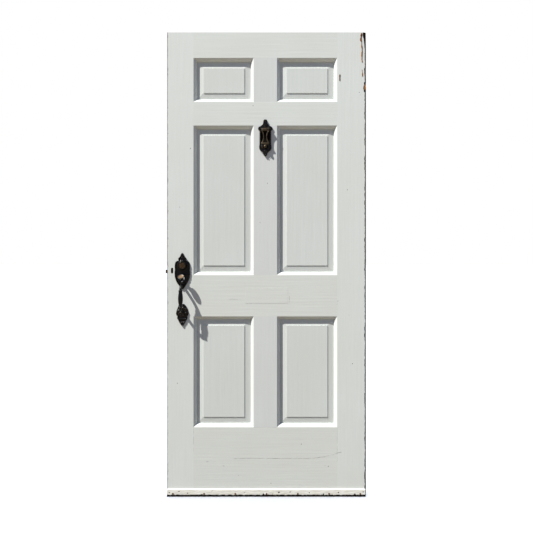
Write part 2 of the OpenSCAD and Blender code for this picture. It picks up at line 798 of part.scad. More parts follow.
// Key cylinder, bored for its plug
module lock_cylinder() {
  color(brass) difference() {
    bar_y(-face - plate_t - collar_t + 0.8, -in_y - 0.1, lock_x, cyl_z, cylinder_r);
    bar_y(-face - 30, 0, lock_x, cyl_z, plug_r + 0.05);
  }
}

plug_r = 6.4;

module key_plug() {
  color(brass) difference() {
    union() {
      bar_y(-face - plate_t - collar_t + 0.3, -in_y - 0.1, lock_x, cyl_z, plug_r);
      square_bar(-in_y - 0.5, -1.2, lock_x, cyl_z, turn_s);
    }
    block(lock_x - 0.8, lock_x + 0.8, -face - 40, -face + 4, cyl_z - 4.5, cyl_z + 4.5);
  }
}

foot_gap = 0.8;
pad_y = grip_y + 9;
pad_z = hub_z;

// Thumb lever: round dished pad, neck, pivot eye and the tail that lifts the hub
module thumb_press() {
  color(brass) difference() {
    union() {
      translate([lock_x, pad_y, pad_z]) rotate([pad_tilt, 0, 0]) rotate_extrude()
        polygon([[0, -2.2], [pad_r * 0.7, -1.8], [pad_r - 0.6, 0.2], [pad_r, 1.4], [pad_r - 1.2, 2],
          [pad_r * 0.65, 0.4], [0, -0.2]]);
      slab_yz(lock_x - lever_w / 2, lock_x + lever_w / 2) polygon([
        [pad_y + 2, pad_z - 5], [pad_y, pad_z - 1], [pad_y + 9, pad_z - 1 + 9 * tan(pad_tilt)],
        [pivot_y - 4, pivot_z + 7],
        [pivot_y, pivot_z + 3.6], [-in_y - 2, pivot_z + 1.5], [-in_y - 2, pivot_z - 1.5],
        [pivot_y, pivot_z - 3.6], [pivot_y - 6, pivot_z - 2]]);
      block(lock_x - lever_w / 2, lock_x + lever_w / 2, -in_y - 3, -2, pivot_z - 1.5, pivot_z + 1.5);
      block(lock_x - hub_lift, lock_x, -in_y + 0.5, -2, pivot_z - 1.5, pivot_z + 1.5);
      block(lock_x - hub_lift, lock_x - hub_lift + 5, -in_y + 0.5, -2, pivot_z - 1.5,
        hub_z - hub_lift_h - foot_gap);
    }
    bar_x(lock_x - 15, lock_x + 15, pivot_y, pivot_z, pivot_r + 0.06);
  }
}

module thumb_pin() {
  half = lever_w / 2 + ear_gap + ear_w;
  color(steel) bar_x(lock_x - half, lock_x + half, pivot_y, pivot_z, pivot_r);
}

// One bend of the grip, from its root on the plate to the upright grip
module grip_end(z_root, way) {
  bar_y(grip_y + grip_bend, -face - plate_t + 0.01, lock_x, z_root, root_r - 1);
  translate([lock_x, grip_y + grip_bend, z_root - way * grip_bend])
    rotate([0, -90, 0]) rotate([0, 0, way > 0 ? 270 : 180])
      rotate_extrude(angle = 90) translate([grip_bend, 0]) circle(r = root_r - 1);
  bar_y(-face - plate_t + 0.01, -face + grip_stud_l, lock_x, z_root, 3);
  translate([lock_x, grip_y, grip_z + way * (grip_l / 2 - 4)]) sphere(r = root_r + 2);
}

module grip_handle() {
  color(iron) {
    grip_end(grip_root_zs[0], 1);
    grip_end(grip_root_zs[1], -1);
    translate([lock_x, grip_y, grip_z]) rotate_extrude() polygon(concat([[0, -grip_l / 2]],
      [for (k = [0:12]) let (t = k / 12 * 2 - 1)
        [grip_r - (grip_r - root_r + 1) * t * t, t * grip_l / 2]], [[0, grip_l / 2]]));
  }
}

module lower_escutcheon() {
  color(iron) difference() {
    union() {
      slab_xz(-face - plate_t * 0.6, -face) translate([lock_x, lower_z]) polygon(mirrored(lower_half));
      slab_xz(-face - plate_t, -face) translate([lock_x, lower_z]) scale(0.82) polygon(mirrored(lower_half));
    }
    bar_y(-face - 20, 0, lock_x, grip_root_zs[1], 3.1);
    outer_screw_shapes(screw_r + fit_gap, 0);
  }
}

// The screws stop in the wood, just short of the lock's pocket
outer_screw_l = face + plate_t - case_t / 2 - 2.2;
module outer_screw_shapes(r, head_r) {
  for (z = [upper_screw_z, lower_screw_z]) {
    if (head_r > 0) face_screw(lock_x, z, -face - plate_t, outer_screw_l, r, head_r);
    else bar_y(-face - plate_t - eps, -face - plate_t + outer_screw_l + 0.2, lock_x, z, r);
  }
}
module outer_plate_screws() {
  color(iron) outer_screw_shapes(screw_r, screw_head_r);
}

// ---------- inside furniture ----------

inner_t = 3;
inner_w = 55;
inner_h = 190;
inner_z = (hub_z + cyl_z) / 2;
inner_screw_l = 20;

module inner_screw_shapes(r, head_r) {
  for (sx = [-1, 1], sz = [-1, 1]) {
    x = lock_x + sx * (inner_w / 2 - 8);
    z = inner_z + sz * (inner_h / 2 - 9);
    bar_y(face + inner_t - inner_screw_l, face + inner_t, x, z, r);
    if (head_r > 0) translate([x, face + inner_t, z]) rotate([-90, 0, 0])
      cylinder(h = 1.6, r1 = head_r, r2 = head_r * 0.6);
  }
}

module inner_escutcheon() {
  color(iron) difference() {
    union() {
      block(lock_x - inner_w / 2, lock_x + inner_w / 2, face, face + inner_t,
        inner_z - inner_h / 2, inner_z + inner_h / 2);
      bar_y(face, face + inner_t + 7, lock_x, hub_z, 13);
    }
    bar_y(0, face + 30, lock_x, hub_z, knob_neck_r + 0.08);
    bar_y(0, face + 30, lock_x, cyl_z, turn_neck_r + 0.08);
    inner_screw_shapes(screw_r + fit_gap, 0);
  }
}
module inner_screws() {
  color(iron) inner_screw_shapes(screw_r, screw_head_r);
}

knob_neck_r = 8.5;
turn_neck_r = 5.5;
knob_from = face + inner_t + 1;

// Turned knob whose neck runs in the plate's bush
module inner_knob() {
  color(iron) difference() {
    translate([lock_x, 0, hub_z]) rotate([-90, 0, 0]) rotate_extrude() polygon([[0, knob_from],
      [knob_neck_r, knob_from], [knob_neck_r, knob_from + 10], [knob_neck_r + 3, knob_from + 14],
      [knob_neck_r + 3, knob_from + 21], [knob_neck_r + 1, knob_from + 23],
      [knob_r * 0.72, knob_from + 27], [knob_r * 0.95, knob_from + 33], [knob_r, knob_from + 39],
      [knob_r * 0.93, knob_from + 46], [knob_r * 0.7, knob_from + 51], [0, knob_from + 53]]);
    square_bar(0, knob_from + 34, lock_x, hub_z, spindle_s + 2 * spindle_gap);
    bar_z(hub_z, hub_z + 30, lock_x, knob_from + 17.5, 1.5);
  }
}

module knob_spindle() {
  color(steel) square_bar(1.5, knob_from + 33, lock_x, hub_z, spindle_s);
}

module knob_set_screw() {
  color(steel) bar_z(hub_z + spindle_s / 2 + 0.1, hub_z + knob_neck_r + 2.6, lock_x, knob_from + 17.5, 1.45);
}

module turn_piece() {
  color(iron) difference() {
    union() {
      bar_y(face + 0.5, face + inner_t + 5, lock_x, cyl_z, turn_neck_r);
      bar_y(face + inner_t + 0.4, face + inner_t + 5, lock_x, cyl_z, 10);
      slab_yz(lock_x - 2.5, lock_x + 2.5) polygon([[face + inner_t + 4, cyl_z - 8],
        [face + inner_t + 20, cyl_z - 15], [face + inner_t + 25, cyl_z - 10],
        [face + inner_t + 25, cyl_z + 10], [face + inner_t + 20, cyl_z + 15],
        [face + inner_t + 4, cyl_z + 8]]);
    }
    square_bar(0, face + inner_t + 4, lock_x, cyl_z, turn_s + 2 * spindle_gap);
  }
}

module turn_spindle() {
  color(steel) square_bar(-1, face + inner_t + 3.5, lock_x, cyl_z, turn_s);
}

// ---------- knocker ----------

knocker_z = z_frieze - knocker_drop;
knocker_half = [[0, 44.5], [6, 43.5], [9.5, 38], [10, 30], [12, 22], [20, 15], [31, 9], [33.5, 4],
  [33, -2], [27, -8], [27, -70], [28.5, -78], [28, -90], [24, -98], [13, -106], [8, -116], [5, -123],
  [0, -126.5]];
hollow_half = [[0, -1], [22, -5], [22.5, -74], [0, -76]];
knocker_t = 5;
rim_t = 5;
ear_x = 21;
knocker_axis_y = -face - knocker_t - 10;
knocker_axis_z = knocker_z - 2;
knocker_pin_r = 2;
clapper_barrel_r = 4.2;
bar_r = 2.8;
bar_gap = 4;
bar_mid_z = knocker_axis_z - 6 - bar_h / 2;
bar_sweep = asin(bar_h / 2 / bar_bend_r);
bar_end_x = bar_gap + bar_r + bar_bend_r * (1 - cos(bar_sweep));
clapper_y = knocker_axis_y - 0.5;
striker_z = bar_mid_z - bar_h / 2 - 14;
striker_r = 7;
stud_r = 6;
knocker_bolt_r = 2.5;
knocker_bolt_zs = [knocker_z + 26, knocker_z - 104];

module knocker_plate() {
  color(iron) difference() {
    union() {
      slab_xz(-face - knocker_t, -face) translate([x_mull, knocker_z]) polygon(mirrored(knocker_half));
      slab_xz(-face - knocker_t - rim_t, -face - knocker_t + 0.5) translate([x_mull, knocker_z])
        difference() {
          scale(0.95) polygon(mirrored(knocker_half));
          polygon(mirrored(hollow_half));
          translate([-24, -105]) square([48, 34]);
        }
      for (way = [-1, 1]) {
        x0 = x_mull + way * ear_x - 2.5;
        bar_x(x0, x0 + 5, knocker_axis_y, knocker_axis_z, 5);
        block(x0, x0 + 5, knocker_axis_y, -face - knocker_t / 2, knocker_axis_z - 5, knocker_axis_z + 5);
      }
    }
    bar_x(x_mull - 30, x_mull + 30, knocker_axis_y, knocker_axis_z, knocker_pin_r);
    bar_x(x_mull - ear_x + 2.5, x_mull + ear_x - 2.5, knocker_axis_y, knocker_axis_z, clapper_barrel_r + 1.2);
    bar_y(-face - 20, 0, x_mull, striker_z, 3);
    for (z = knocker_bolt_zs) bar_y(-face - 4, 0, x_mull, z, knocker_bolt_r + fit_gap);
  }
}

// The lifting part: a barrel on the pin, two bowed bars and the striker
module knocker_clapper() {
  half_w = ear_x - 2.5 - 0.4;
  color(iron) difference() {
    union() {
      bar_x(x_mull - half_w, x_mull + half_w, knocker_axis_y, knocker_axis_z, clapper_barrel_r);
      for (way = [-1, 1]) translate([x_mull + way * (bar_gap + bar_r + bar_bend_r), clapper_y, bar_mid_z])
        rotate([90, 0, 0]) rotate([0, 0, way > 0 ? 180 - bar_sweep : -bar_sweep])
          rotate_extrude(angle = 2 * bar_sweep) translate([bar_bend_r, 0]) circle(r = bar_r);
      for (way = [-1, 1]) bar_x(x_mull - bar_end_x - 1, x_mull + bar_end_x + 1, clapper_y,
        bar_mid_z + way * bar_h / 2, bar_r + 0.6);
      block(x_mull - 6, x_mull + 6, clapper_y - bar_r, clapper_y + bar_r, striker_z, bar_mid_z - bar_h / 2);
      translate([x_mull, clapper_y - 1, striker_z]) sphere(r = striker_r);
    }
    bar_x(x_mull - 30, x_mull + 30, knocker_axis_y, knocker_axis_z, knocker_pin_r + 0.06);
  }
}

module knocker_pin() {
  color(steel) bar_x(x_mull - ear_x - 2.5, x_mull + ear_x + 2.5, knocker_axis_y, knocker_axis_z, knocker_pin_r);
}

// Stud that the striker lands on, its shank set in the plate
module strike_stud() {
  color(brass) {
    bar_y(clapper_y - 1 + striker_r + 0.3, -face - knocker_t, x_mull, striker_z, stud_r);
    bar_y(-face - knocker_t - 0.2, -face, x_mull, striker_z, 2.95);
  }
}

module knocker_bolt_shapes(r) {
  for (z = knocker_bolt_zs) bar_y(-face - 4, face + eps, x_mull, z, r);
}

// Machine screws from the inside of the leaf into the plate
module knocker_bolts() {
  color(steel) for (z = knocker_bolt_zs) {
    bar_y(-face - 4, face, x_mull, z, knocker_bolt_r);
    translate([x_mull, face, z]) rotate([-90, 0, 0]) cylinder(h = 2.4, r1 = 5, r2 = 3.4);
  }
}

lock_stile();
hinge_stile();
top_rail();
frieze_rail();
lock_rail();
bottom_rail();
top_mullion();
middle_mullion();
bottom_mullion();
panel_top_left();
panel_top_right();
panel_middle_left();
panel_middle_right();
panel_bottom_left();
panel_bottom_right();
hinge_edge_lipping();
letter_slot_patch();
bottom_strip();
bottom_strip_nails();
hinge_leaf_top();
hinge_leaf_middle();
hinge_leaf_bottom();
hinge_screws();
lock_case();
case_cap();
case_screws();
lock_front();
front_screws();
latch_bolt();
latch_spring();
deadbolt();
latch_hub();
deadbolt_cam();
upper_escutcheon();
cylinder_collar();
lock_cylinder();
key_plug();
thumb_press();
thumb_pin();
grip_handle();
lower_escutcheon();
outer_plate_screws();
inner_escutcheon();
inner_knob();
knob_spindle();
knob_set_screw();
turn_piece();
turn_spindle();
inner_screws();
knocker_plate();
knocker_clapper();
knocker_pin();
strike_stud();
knocker_bolts();
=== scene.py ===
# %% [markdown]
# # An old panelled front door
# The leaf is a joiner's door: two stiles, four rails and three short uprights hold six raised panels.
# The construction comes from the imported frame, in metres, and is never moved here. This script gives
# it what age gave the real one: brushed gloss paint, worn edges, cracks, rust and cast ironwork.

# %% Load the door
import math
import random

import bmesh
import bpy
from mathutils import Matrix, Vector, noise
from mathutils.bvhtree import BVHTree


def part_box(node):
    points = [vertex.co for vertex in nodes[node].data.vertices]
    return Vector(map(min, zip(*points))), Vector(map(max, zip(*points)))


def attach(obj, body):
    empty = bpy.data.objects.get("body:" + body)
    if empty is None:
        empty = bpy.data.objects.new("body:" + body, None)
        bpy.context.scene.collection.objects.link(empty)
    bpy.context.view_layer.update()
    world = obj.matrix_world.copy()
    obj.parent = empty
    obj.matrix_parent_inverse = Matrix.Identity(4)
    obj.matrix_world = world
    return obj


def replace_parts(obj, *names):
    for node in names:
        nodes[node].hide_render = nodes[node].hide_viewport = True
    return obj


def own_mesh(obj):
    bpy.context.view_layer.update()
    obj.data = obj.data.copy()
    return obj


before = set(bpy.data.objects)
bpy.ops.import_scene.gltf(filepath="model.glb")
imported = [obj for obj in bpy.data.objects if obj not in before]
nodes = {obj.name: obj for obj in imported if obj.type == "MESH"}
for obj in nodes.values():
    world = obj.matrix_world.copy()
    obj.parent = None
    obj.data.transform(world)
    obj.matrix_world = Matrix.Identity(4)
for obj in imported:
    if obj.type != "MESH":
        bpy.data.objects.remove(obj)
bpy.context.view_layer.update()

scene = bpy.context.scene
print("pieces from the frame:", len(nodes))

# %% [markdown]
# ## Sizes to work from
# The places of the construction are read from the frame. Marks of age have no piece in it, so cracks,
# chips, bites and the old keyhole are placed one by one, in millimetres, and stay there if the door
# changes size. Millimetres are easier to think in, so `MM` turns them into Blender's metres.

# %% Sizes
MM = 0.001
face_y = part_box("lock_rail")[0].y
left_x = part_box("lock_stile")[0].x
right_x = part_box("hinge_edge_lipping")[1].x
top_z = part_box("lock_stile")[1].z
lock_x = (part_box("lock_cylinder")[0].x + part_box("lock_cylinder")[1].x) / 2
cylinder_z = (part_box("lock_cylinder")[0].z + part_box("lock_cylinder")[1].z) / 2
knocker_x = (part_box("knocker_plate")[0].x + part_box("knocker_plate")[1].x) / 2
print("leaf", round((right_x - left_x) / MM, 1), "x", round(top_z / MM, 1), "mm")

# %% [markdown]
# ## Camera
# A long-ish lens from chest height, looking straight at the street side. The small shift frames the
# whole leaf while the camera stays level, so the uprights stay upright. Its distance, height and view
# are given in metres.

# %% Camera
CAMERA_BACK = 2.50
CAMERA_X, CAMERA_Z = 0.080, 1.150
VIEW_W = 2.4518
VIEW_MID_X, VIEW_MID_Z = -0.0004, 1.057

camera_data = bpy.data.cameras.new("camera")
camera_data.sensor_width = 36.0
camera_data.lens = camera_data.sensor_width * CAMERA_BACK / VIEW_W
camera_data.shift_x = (VIEW_MID_X - CAMERA_X) / VIEW_W
camera_data.shift_y = (VIEW_MID_Z - CAMERA_Z) / VIEW_W
camera_data.clip_end = 60.0
camera = bpy.data.objects.new("camera", camera_data)
camera.location = (CAMERA_X, face_y - CAMERA_BACK, CAMERA_Z)
camera.rotation_euler = (math.radians(90), 0, 0)
scene.collection.objects.link(camera)
scene.camera = camera
print("lens", round(camera_data.lens, 1), "mm")

# %% [markdown]
# ## Colour and node helpers
# Colours are written as sRGB hex, the way a paint chart gives them, and one function turns them to
# linear light. `wire` fills a node's inputs and `add_node` adds any node with its settings and links.
# The other two build on them: a new material, and cloudy noise whose size is given in millimetres.

# %% Helpers for colour and nodes
def srgb(code):
    """'#rrggbb' to linear RGBA."""
    parts = [int(code[i:i + 2], 16) / 255 for i in (1, 3, 5)]
    linear = [c / 12.92 if c <= 0.04045 else ((c + 0.055) / 1.055) ** 2.4 for c in parts]
    return (*linear, 1.0)


def wire(tree, node, inputs):
    """Each input takes a value, an output socket, or a node, whose first output in use is taken."""
    for key, value in inputs.items():
        if isinstance(value, bpy.types.Node):
            value = next(socket for socket in value.outputs if socket.enabled)
        if isinstance(value, bpy.types.NodeSocket):
            tree.links.new(value, node.inputs[key])
        else:
            node.inputs[key].default_value = value
    return node


def add_node(tree, kind, inputs=None, **settings):
    node = tree.nodes.new(kind)
    for name, value in settings.items():
        setattr(node, name, value)
    return wire(tree, node, inputs or {})


def new_material(name):
    """A material, its tree, its Principled shader and object coordinates."""
    material = bpy.data.materials.new(name)
    material.use_nodes = True
    tree = material.node_tree
    place = add_node(tree, "ShaderNodeTexCoord").outputs["Object"]
    return material, tree, tree.nodes["Principled BSDF"], place


def noise_at(tree, place, size_mm, detail=3.0, rough=0.6):
    """Cloudy noise whose blotches are about size_mm, which is one number or one for each axis."""
    sizes = size_mm if isinstance(size_mm, tuple) else (size_mm,) * 3
    scaled = add_node(tree, "ShaderNodeMapping",
                      {"Vector": place, "Scale": tuple(1 / (s * MM) for s in sizes)})
    return add_node(tree, "ShaderNodeTexNoise", {"Vector": scaled, "Scale": 1.0, "Detail": detail,
                                                 "Roughness": rough})


print("a mid grey of #808080 is", round(srgb("#808080")[0], 3), "in linear light")

# %% [markdown]
# ## Old gloss paint
# Many coats of oil paint, brushed on along the grain and chalked by the sun. It could be one flat
# white, but the eye finds a painted door by three things: brush lines along each member, slow clouds
# of a greyer or creamier white, and grime that settles on anything that faces up. So the paint is a
# function, and each member passes the direction of its grain. Brush lines are really about 1 mm
# apart; here they are drawn 7 mm apart, so that they show from across a room.

# %% Paint
def shade(code, factor, warm=0.0):
    """A lighter or darker version of a hex colour; warm adds red and takes away blue."""
    r, g, b, a = srgb(code)
    return (min(r * factor * (1 + warm), 1), min(g * factor, 1), min(b * factor * (1 - warm), 1), a)


def old_gloss_paint(name, tone, grain, ledge_grime=0.5):
    material, tree, shader, place = new_material(name)
    across, along = 7.0, 260.0
    sizes = {"upright": (across, across, along), "level": (along, across, across)}[grain]
    brush = noise_at(tree, place, sizes, detail=5.0, rough=0.62)
    fine = noise_at(tree, place, tuple(s * 0.4 for s in sizes), detail=3.0)
    clouds = noise_at(tree, place, 260.0, detail=4.0, rough=0.55)
    lines = add_node(tree, "ShaderNodeMapRange", {0: brush, 1: 0.30, 2: 0.72})
    colour = add_node(tree, "ShaderNodeMix", {0: lines, 6: shade(tone, 0.965), 7: shade(tone, 1.02)},
                      data_type="RGBA")
    clouded = add_node(tree, "ShaderNodeMapRange", {0: clouds, 1: 0.35, 2: 0.75})
    colour = add_node(tree, "ShaderNodeMix",
                      {0: clouded, 6: colour, 7: shade(tone, 0.955, warm=0.012)}, data_type="RGBA")
    # Grime on what faces up, low down: the sills of the panels and the heads of the mouldings
    normal = add_node(tree, "ShaderNodeNewGeometry").outputs["Normal"]
    up = add_node(tree, "ShaderNodeSeparateXYZ", {0: normal}).outputs["Z"]
    facing_up = add_node(tree, "ShaderNodeMapRange", {0: up, 1: 0.35, 2: 0.6})
    specks = noise_at(tree, place, (22.0, 9.0, 9.0), detail=6.0, rough=0.75)
    specked = add_node(tree, "ShaderNodeMapRange", {0: specks, 1: 0.52, 2: 0.66})
    height = add_node(tree, "ShaderNodeSeparateXYZ", {0: place}).outputs["Z"]
    low_down = add_node(tree, "ShaderNodeMapRange", {0: height, 1: 1.2, 2: 0.2})
    settled = facing_up
    for factor in (specked, low_down, ledge_grime):
        settled = add_node(tree, "ShaderNodeMath", {0: settled, 1: factor}, operation="MULTIPLY")
    colour = add_node(tree, "ShaderNodeMix", {0: settled, 6: colour, 7: srgb("#a1937a")},
                      data_type="RGBA")
    # The lower half is a little greyer, darker towards the bottom
    darker_towards_bottom = add_node(tree, "ShaderNodeMapRange", {0: height, 1: 1.9, 2: 0.3})
    greyed = add_node(tree, "ShaderNodeMix", {0: 1.0, 6: colour, 7: (0.935, 0.935, 0.935, 1)},
                      data_type="RGBA", blend_type="MULTIPLY")
    colour = add_node(tree, "ShaderNodeMix", {0: darker_towards_bottom, 6: colour, 7: greyed}, data_type="RGBA")
    coats = add_node(tree, "ShaderNodeMath", {0: fine, 1: 0.4}, operation="MULTIPLY")
    coats = add_node(tree, "ShaderNodeMath", {0: brush, 1: coats}, operation="ADD")
    wire(tree, shader, {
        "Base Color": colour,
        "Specular IOR Level": 0.35,
        "Roughness": add_node(tree, "ShaderNodeMapRange", {0: fine, 3: 0.42, 4: 0.62}),
        "Normal": add_node(tree, "ShaderNodeBump", {"Height": coats, "Distance": 0.45 * MM,
                                                    "Strength": 1.0})})
    return material


paint_upright = old_gloss_paint("gloss_paint_brushed_upright", "#e4e8e6", "upright")
paint_level = old_gloss_paint("gloss_paint_brushed_level", "#e2e6e3", "level")
paint_panel = old_gloss_paint("gloss_paint_on_panels", "#dde1df", "upright")
paint_between = old_gloss_paint("gloss_paint_greyed_upright", "#dee1e1", "upright")
paint_foot = old_gloss_paint("gloss_paint_greyed_level", "#e1e4e1", "level")
print("paint nodes", len(paint_upright.node_tree.nodes))

# %% [markdown]
# ## Bare wood and grime
# Where paint has gone, the softwood is brown at a fresh break and near black where rain has soaked
# in for years. One material holds both, and a coarse noise along the grain chooses between them.

# %% Bare wood
def weathered_wood(name, fresh, soaked, wet=0.5, dark_grain=(0.4, 0.7)):
    material, tree, shader, place = new_material(name)
    grain = noise_at(tree, place, (3.0, 3.0, 60.0), detail=6.0, rough=0.7)
    patches = noise_at(tree, place, 45.0, detail=3.0)
    dry = add_node(tree, "ShaderNodeMapRange", {0: patches, 1: wet - 0.12, 2: wet + 0.12})
    colour = add_node(tree, "ShaderNodeMix", {0: dry, 6: srgb(soaked), 7: srgb(fresh)},
                      data_type="RGBA")
    lines = add_node(tree, "ShaderNodeMapRange", {0: grain, 1: dark_grain[0], 2: dark_grain[1]})
    colour = add_node(tree, "ShaderNodeMix", {0: lines, 6: colour, 7: srgb("#22180f")},
                      data_type="RGBA")
    wire(tree, shader, {
        "Base Color": colour,
        "Roughness": 0.9,
        "Specular IOR Level": 0.12,
        "Normal": add_node(tree, "ShaderNodeBump", {"Height": grain, "Distance": 0.6 * MM,
                                                    "Strength": 1.0})})
    return material


bare_wood = weathered_wood("bare_weathered_softwood", "#b07440", "#684328", dark_grain=(0.54, 0.82))
# Near-black painted shade, for the inside of the old keyhole and the floor of the knocker's hollow
painted_shade_black = weathered_wood("painted_shade_black_in_hollows", "#0b0a09", "#050505")
# Mid-grey: on cracks and hairlines it is painted shadow, the shade inside a crack; on chips it is grey
# primer
crack_shadow_and_primer_grey = weathered_wood("painted_crack_shadow_and_grey_primer", "#8b877e", "#5c574f")
soaked_wood = weathered_wood("soaked_softwood_edge", "#3a2616", "#0e0805", wet=0.52)
print("woods", bare_wood.name, "and", soaked_wood.name)

# %% [markdown]
# ## Metals
# The outside furniture is cast and was lacquered black; hands and weather have rubbed the high
# places back to a dull brown-gold. The lock's own parts are brass and mill-finish steel.

# %% Metals
def black_casting(name, rubbed="#5b4a33", amount=0.5):
    """Worn black lacquer. The attribute 'high' is 1 on the high places of a casting."""
    material, tree, shader, place = new_material(name)
    high = add_node(tree, "ShaderNodeAttribute", attribute_name="high").outputs["Fac"]
    pitting = noise_at(tree, place, 2.2, detail=5.0, rough=0.7)
    clouds = noise_at(tree, place, 14.0, detail=3.0)
    worn = add_node(tree, "ShaderNodeMapRange", {0: high, 1: 0.55, 2: 1.0})
    patchy = add_node(tree, "ShaderNodeMapRange", {0: clouds, 1: 0.42, 2: 0.62})
    for factor in (patchy, amount):
        worn = add_node(tree, "ShaderNodeMath", {0: worn, 1: factor}, operation="MULTIPLY")
    pitted = add_node(tree, "ShaderNodeMapRange", {0: pitting, 1: 0.35, 2: 0.7})
    colour = add_node(tree, "ShaderNodeMix", {0: pitted, 6: srgb("#030303"), 7: srgb("#0c0b09")},
                      data_type="RGBA")
    colour = add_node(tree, "ShaderNodeMix", {0: worn, 6: colour, 7: srgb(rubbed)},
                      data_type="RGBA")
    wire(tree, shader, {
        "Base Color": colour,
        "Metallic": worn,
        "Specular IOR Level": 0.35,
        "Roughness": add_node(tree, "ShaderNodeMapRange", {0: clouds, 3: 0.20, 4: 0.42}),
        "Normal": add_node(tree, "ShaderNodeBump", {"Height": pitting, "Distance": 0.5 * MM,
                                                    "Strength": 1.0})})
    return material


def plain_metal(name, bright, dull, metallic=1.0, rough=(0.3, 0.5), spots_mm=9.0):
    """Bare metal that has dulled in patches."""
    material, tree, shader, place = new_material(name)
    clouds = noise_at(tree, place, spots_mm, detail=5.0, rough=0.65)
    dulled = add_node(tree, "ShaderNodeMapRange", {0: clouds, 1: 0.38, 2: 0.66})
    wire(tree, shader, {
        "Base Color": add_node(tree, "ShaderNodeMix", {0: dulled, 6: srgb(bright), 7: srgb(dull)},
                               data_type="RGBA"),
        "Metallic": metallic,
        "Roughness": add_node(tree, "ShaderNodeMapRange", {0: clouds, 3: rough[0], 4: rough[1]}),
        "Normal": add_node(tree, "ShaderNodeBump", {"Height": clouds, "Distance": 0.15 * MM,
                                                    "Strength": 1.0})})
    return material


black_iron = black_casting("worn_black_lacquer_on_cast_metal")
worn_brass = plain_metal("worn_brass", "#b98a4e", "#5e4427")
# Dark brass: tarnish, and on the lock cylinder and its plug also painted shade, as they sit in the shade
# of the collar
tarnished_and_shaded_brass = plain_metal("tarnished_brass_with_painted_shade", "#5a442b", "#1d1710", metallic=0.6, rough=(0.45, 0.6))
rubbed_bars = plain_metal("lacquer_rubbed_to_brass", "#5b4d37", "#14110d", metallic=0.4,
                          rough=(0.3, 0.5), spots_mm=11.0)
dull_steel = plain_metal("mill_finish_steel", "#9a968e", "#5f5a52")
rust = plain_metal("rust", "#6b4128", "#2f1d13", metallic=0.0, rough=(0.8, 0.95), spots_mm=3.0)
print("metals ready")

# %% [markdown]
# ## The thumb press
# The lever is lacquered black, but thumbs have polished the middle of its pad to warm, dull brass. The
# change is round and centred on the pad, so it is a distance from the pad's centre in object space.

# %% Thumb press finish
def thumbed_brass(node):
    lo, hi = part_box(node)
    material, tree, shader, place = new_material("black_lever_with_thumb_polished_pad")
    centre = (lock_x, lo.y + 12.6 * MM, hi.z - 9.9 * MM)
    away = add_node(tree, "ShaderNodeVectorMath", {0: place, 1: centre}, operation="DISTANCE")
    cloudy = noise_at(tree, place, 4.0)
    ragged = add_node(tree, "ShaderNodeMath", {0: cloudy, 1: 3.0 * MM}, operation="MULTIPLY")
    edge = add_node(tree, "ShaderNodeMath", {0: away.outputs["Value"], 1: ragged}, operation="ADD")
    polished = add_node(tree, "ShaderNodeMapRange", {0: edge, 1: 15.0 * MM, 2: 11.5 * MM})
    brass = add_node(tree, "ShaderNodeMix", {0: cloudy, 6: srgb("#8f7458"), 7: srgb("#695642")},
                     data_type="RGBA")
    wire(tree, shader, {
        "Base Color": add_node(tree, "ShaderNodeMix", {0: polished, 6: srgb("#070605"), 7: brass},
                               data_type="RGBA"),
        "Metallic": add_node(tree, "ShaderNodeMath", {0: polished, 1: 0.35}, operation="MULTIPLY"),
        "Roughness": 0.48})
    return material


print("the pad's polish is about", 2 * 11.5, "mm across")

# %% [markdown]
# ## Give each piece its finish
# Stiles and uprights were brushed up and down, rails from side to side, as a painter lays off.

# %% Finishes
def finish(name, material):
    mesh = nodes[name].data
    mesh.materials.clear()
    mesh.materials.append(material)


UPRIGHT = ["lock_stile", "hinge_stile", "hinge_edge_lipping"]
BETWEEN = ["top_mullion", "middle_mullion", "bottom_mullion"]
LEVEL = ["top_rail", "frieze_rail", "bottom_strip"]
FOOT = ["lock_rail", "bottom_rail", "letter_slot_patch"]
BLACK = ["upper_escutcheon", "cylinder_collar", "grip_handle", "lower_escutcheon",
         "outer_plate_screws", "knocker_plate", "inner_escutcheon", "inner_knob",
         "turn_piece", "inner_screws"]
BRASS = ["lock_front", "front_screws", "deadbolt"]
# These take the dark brass: tarnish, with painted shade on the cylinder and plug inside the collar
TARNISHED_AND_SHADED = ["latch_bolt", "lock_cylinder", "key_plug", "strike_stud"]
for name in nodes:
    if name.startswith("panel_"):
        finish(name, paint_panel)
    elif name in UPRIGHT:
        finish(name, paint_upright)
    elif name in BETWEEN:
        finish(name, paint_between)
    elif name in LEVEL:
        finish(name, paint_level)
    elif name in FOOT:
        finish(name, paint_foot)
    elif name in BLACK:
        finish(name, black_iron)
    elif name in BRASS:
        finish(name, worn_brass)
    elif name == "knocker_clapper":
        finish(name, rubbed_bars)
    elif name in TARNISHED_AND_SHADED:
        finish(name, tarnished_and_shaded_brass)
    elif name == "thumb_press":
        finish(name, thumbed_brass(name))
    elif name == "bottom_strip_nails":
        finish(name, rust)
    else:
        finish(name, dull_steel)
print("finished", len(nodes), "pieces of the frame")

# %% [markdown]
# ## Crisp corners catch the light
# The frame's corners are mathematically sharp, and no casting or pressing is. The metal pieces listed
# in SOFT each get a weld and a small bevel as modifiers, so the frame's own mesh stays as it is.
# Handled castings get the widest bevel and stamped steel the narrowest.

# %% Small bevels on the metal pieces
def soften(name, width_mm, segments=2):
    weld = nodes[name].modifiers.new("weld", "WELD")
    weld.merge_threshold = 0.00001
    bevel = nodes[name].modifiers.new("bevel", "BEVEL")
    bevel.width = width_mm * MM
    bevel.segments = segments
    bevel.limit_method = "ANGLE"
    bevel.angle_limit = math.radians(40)
    bevel.harden_normals = False


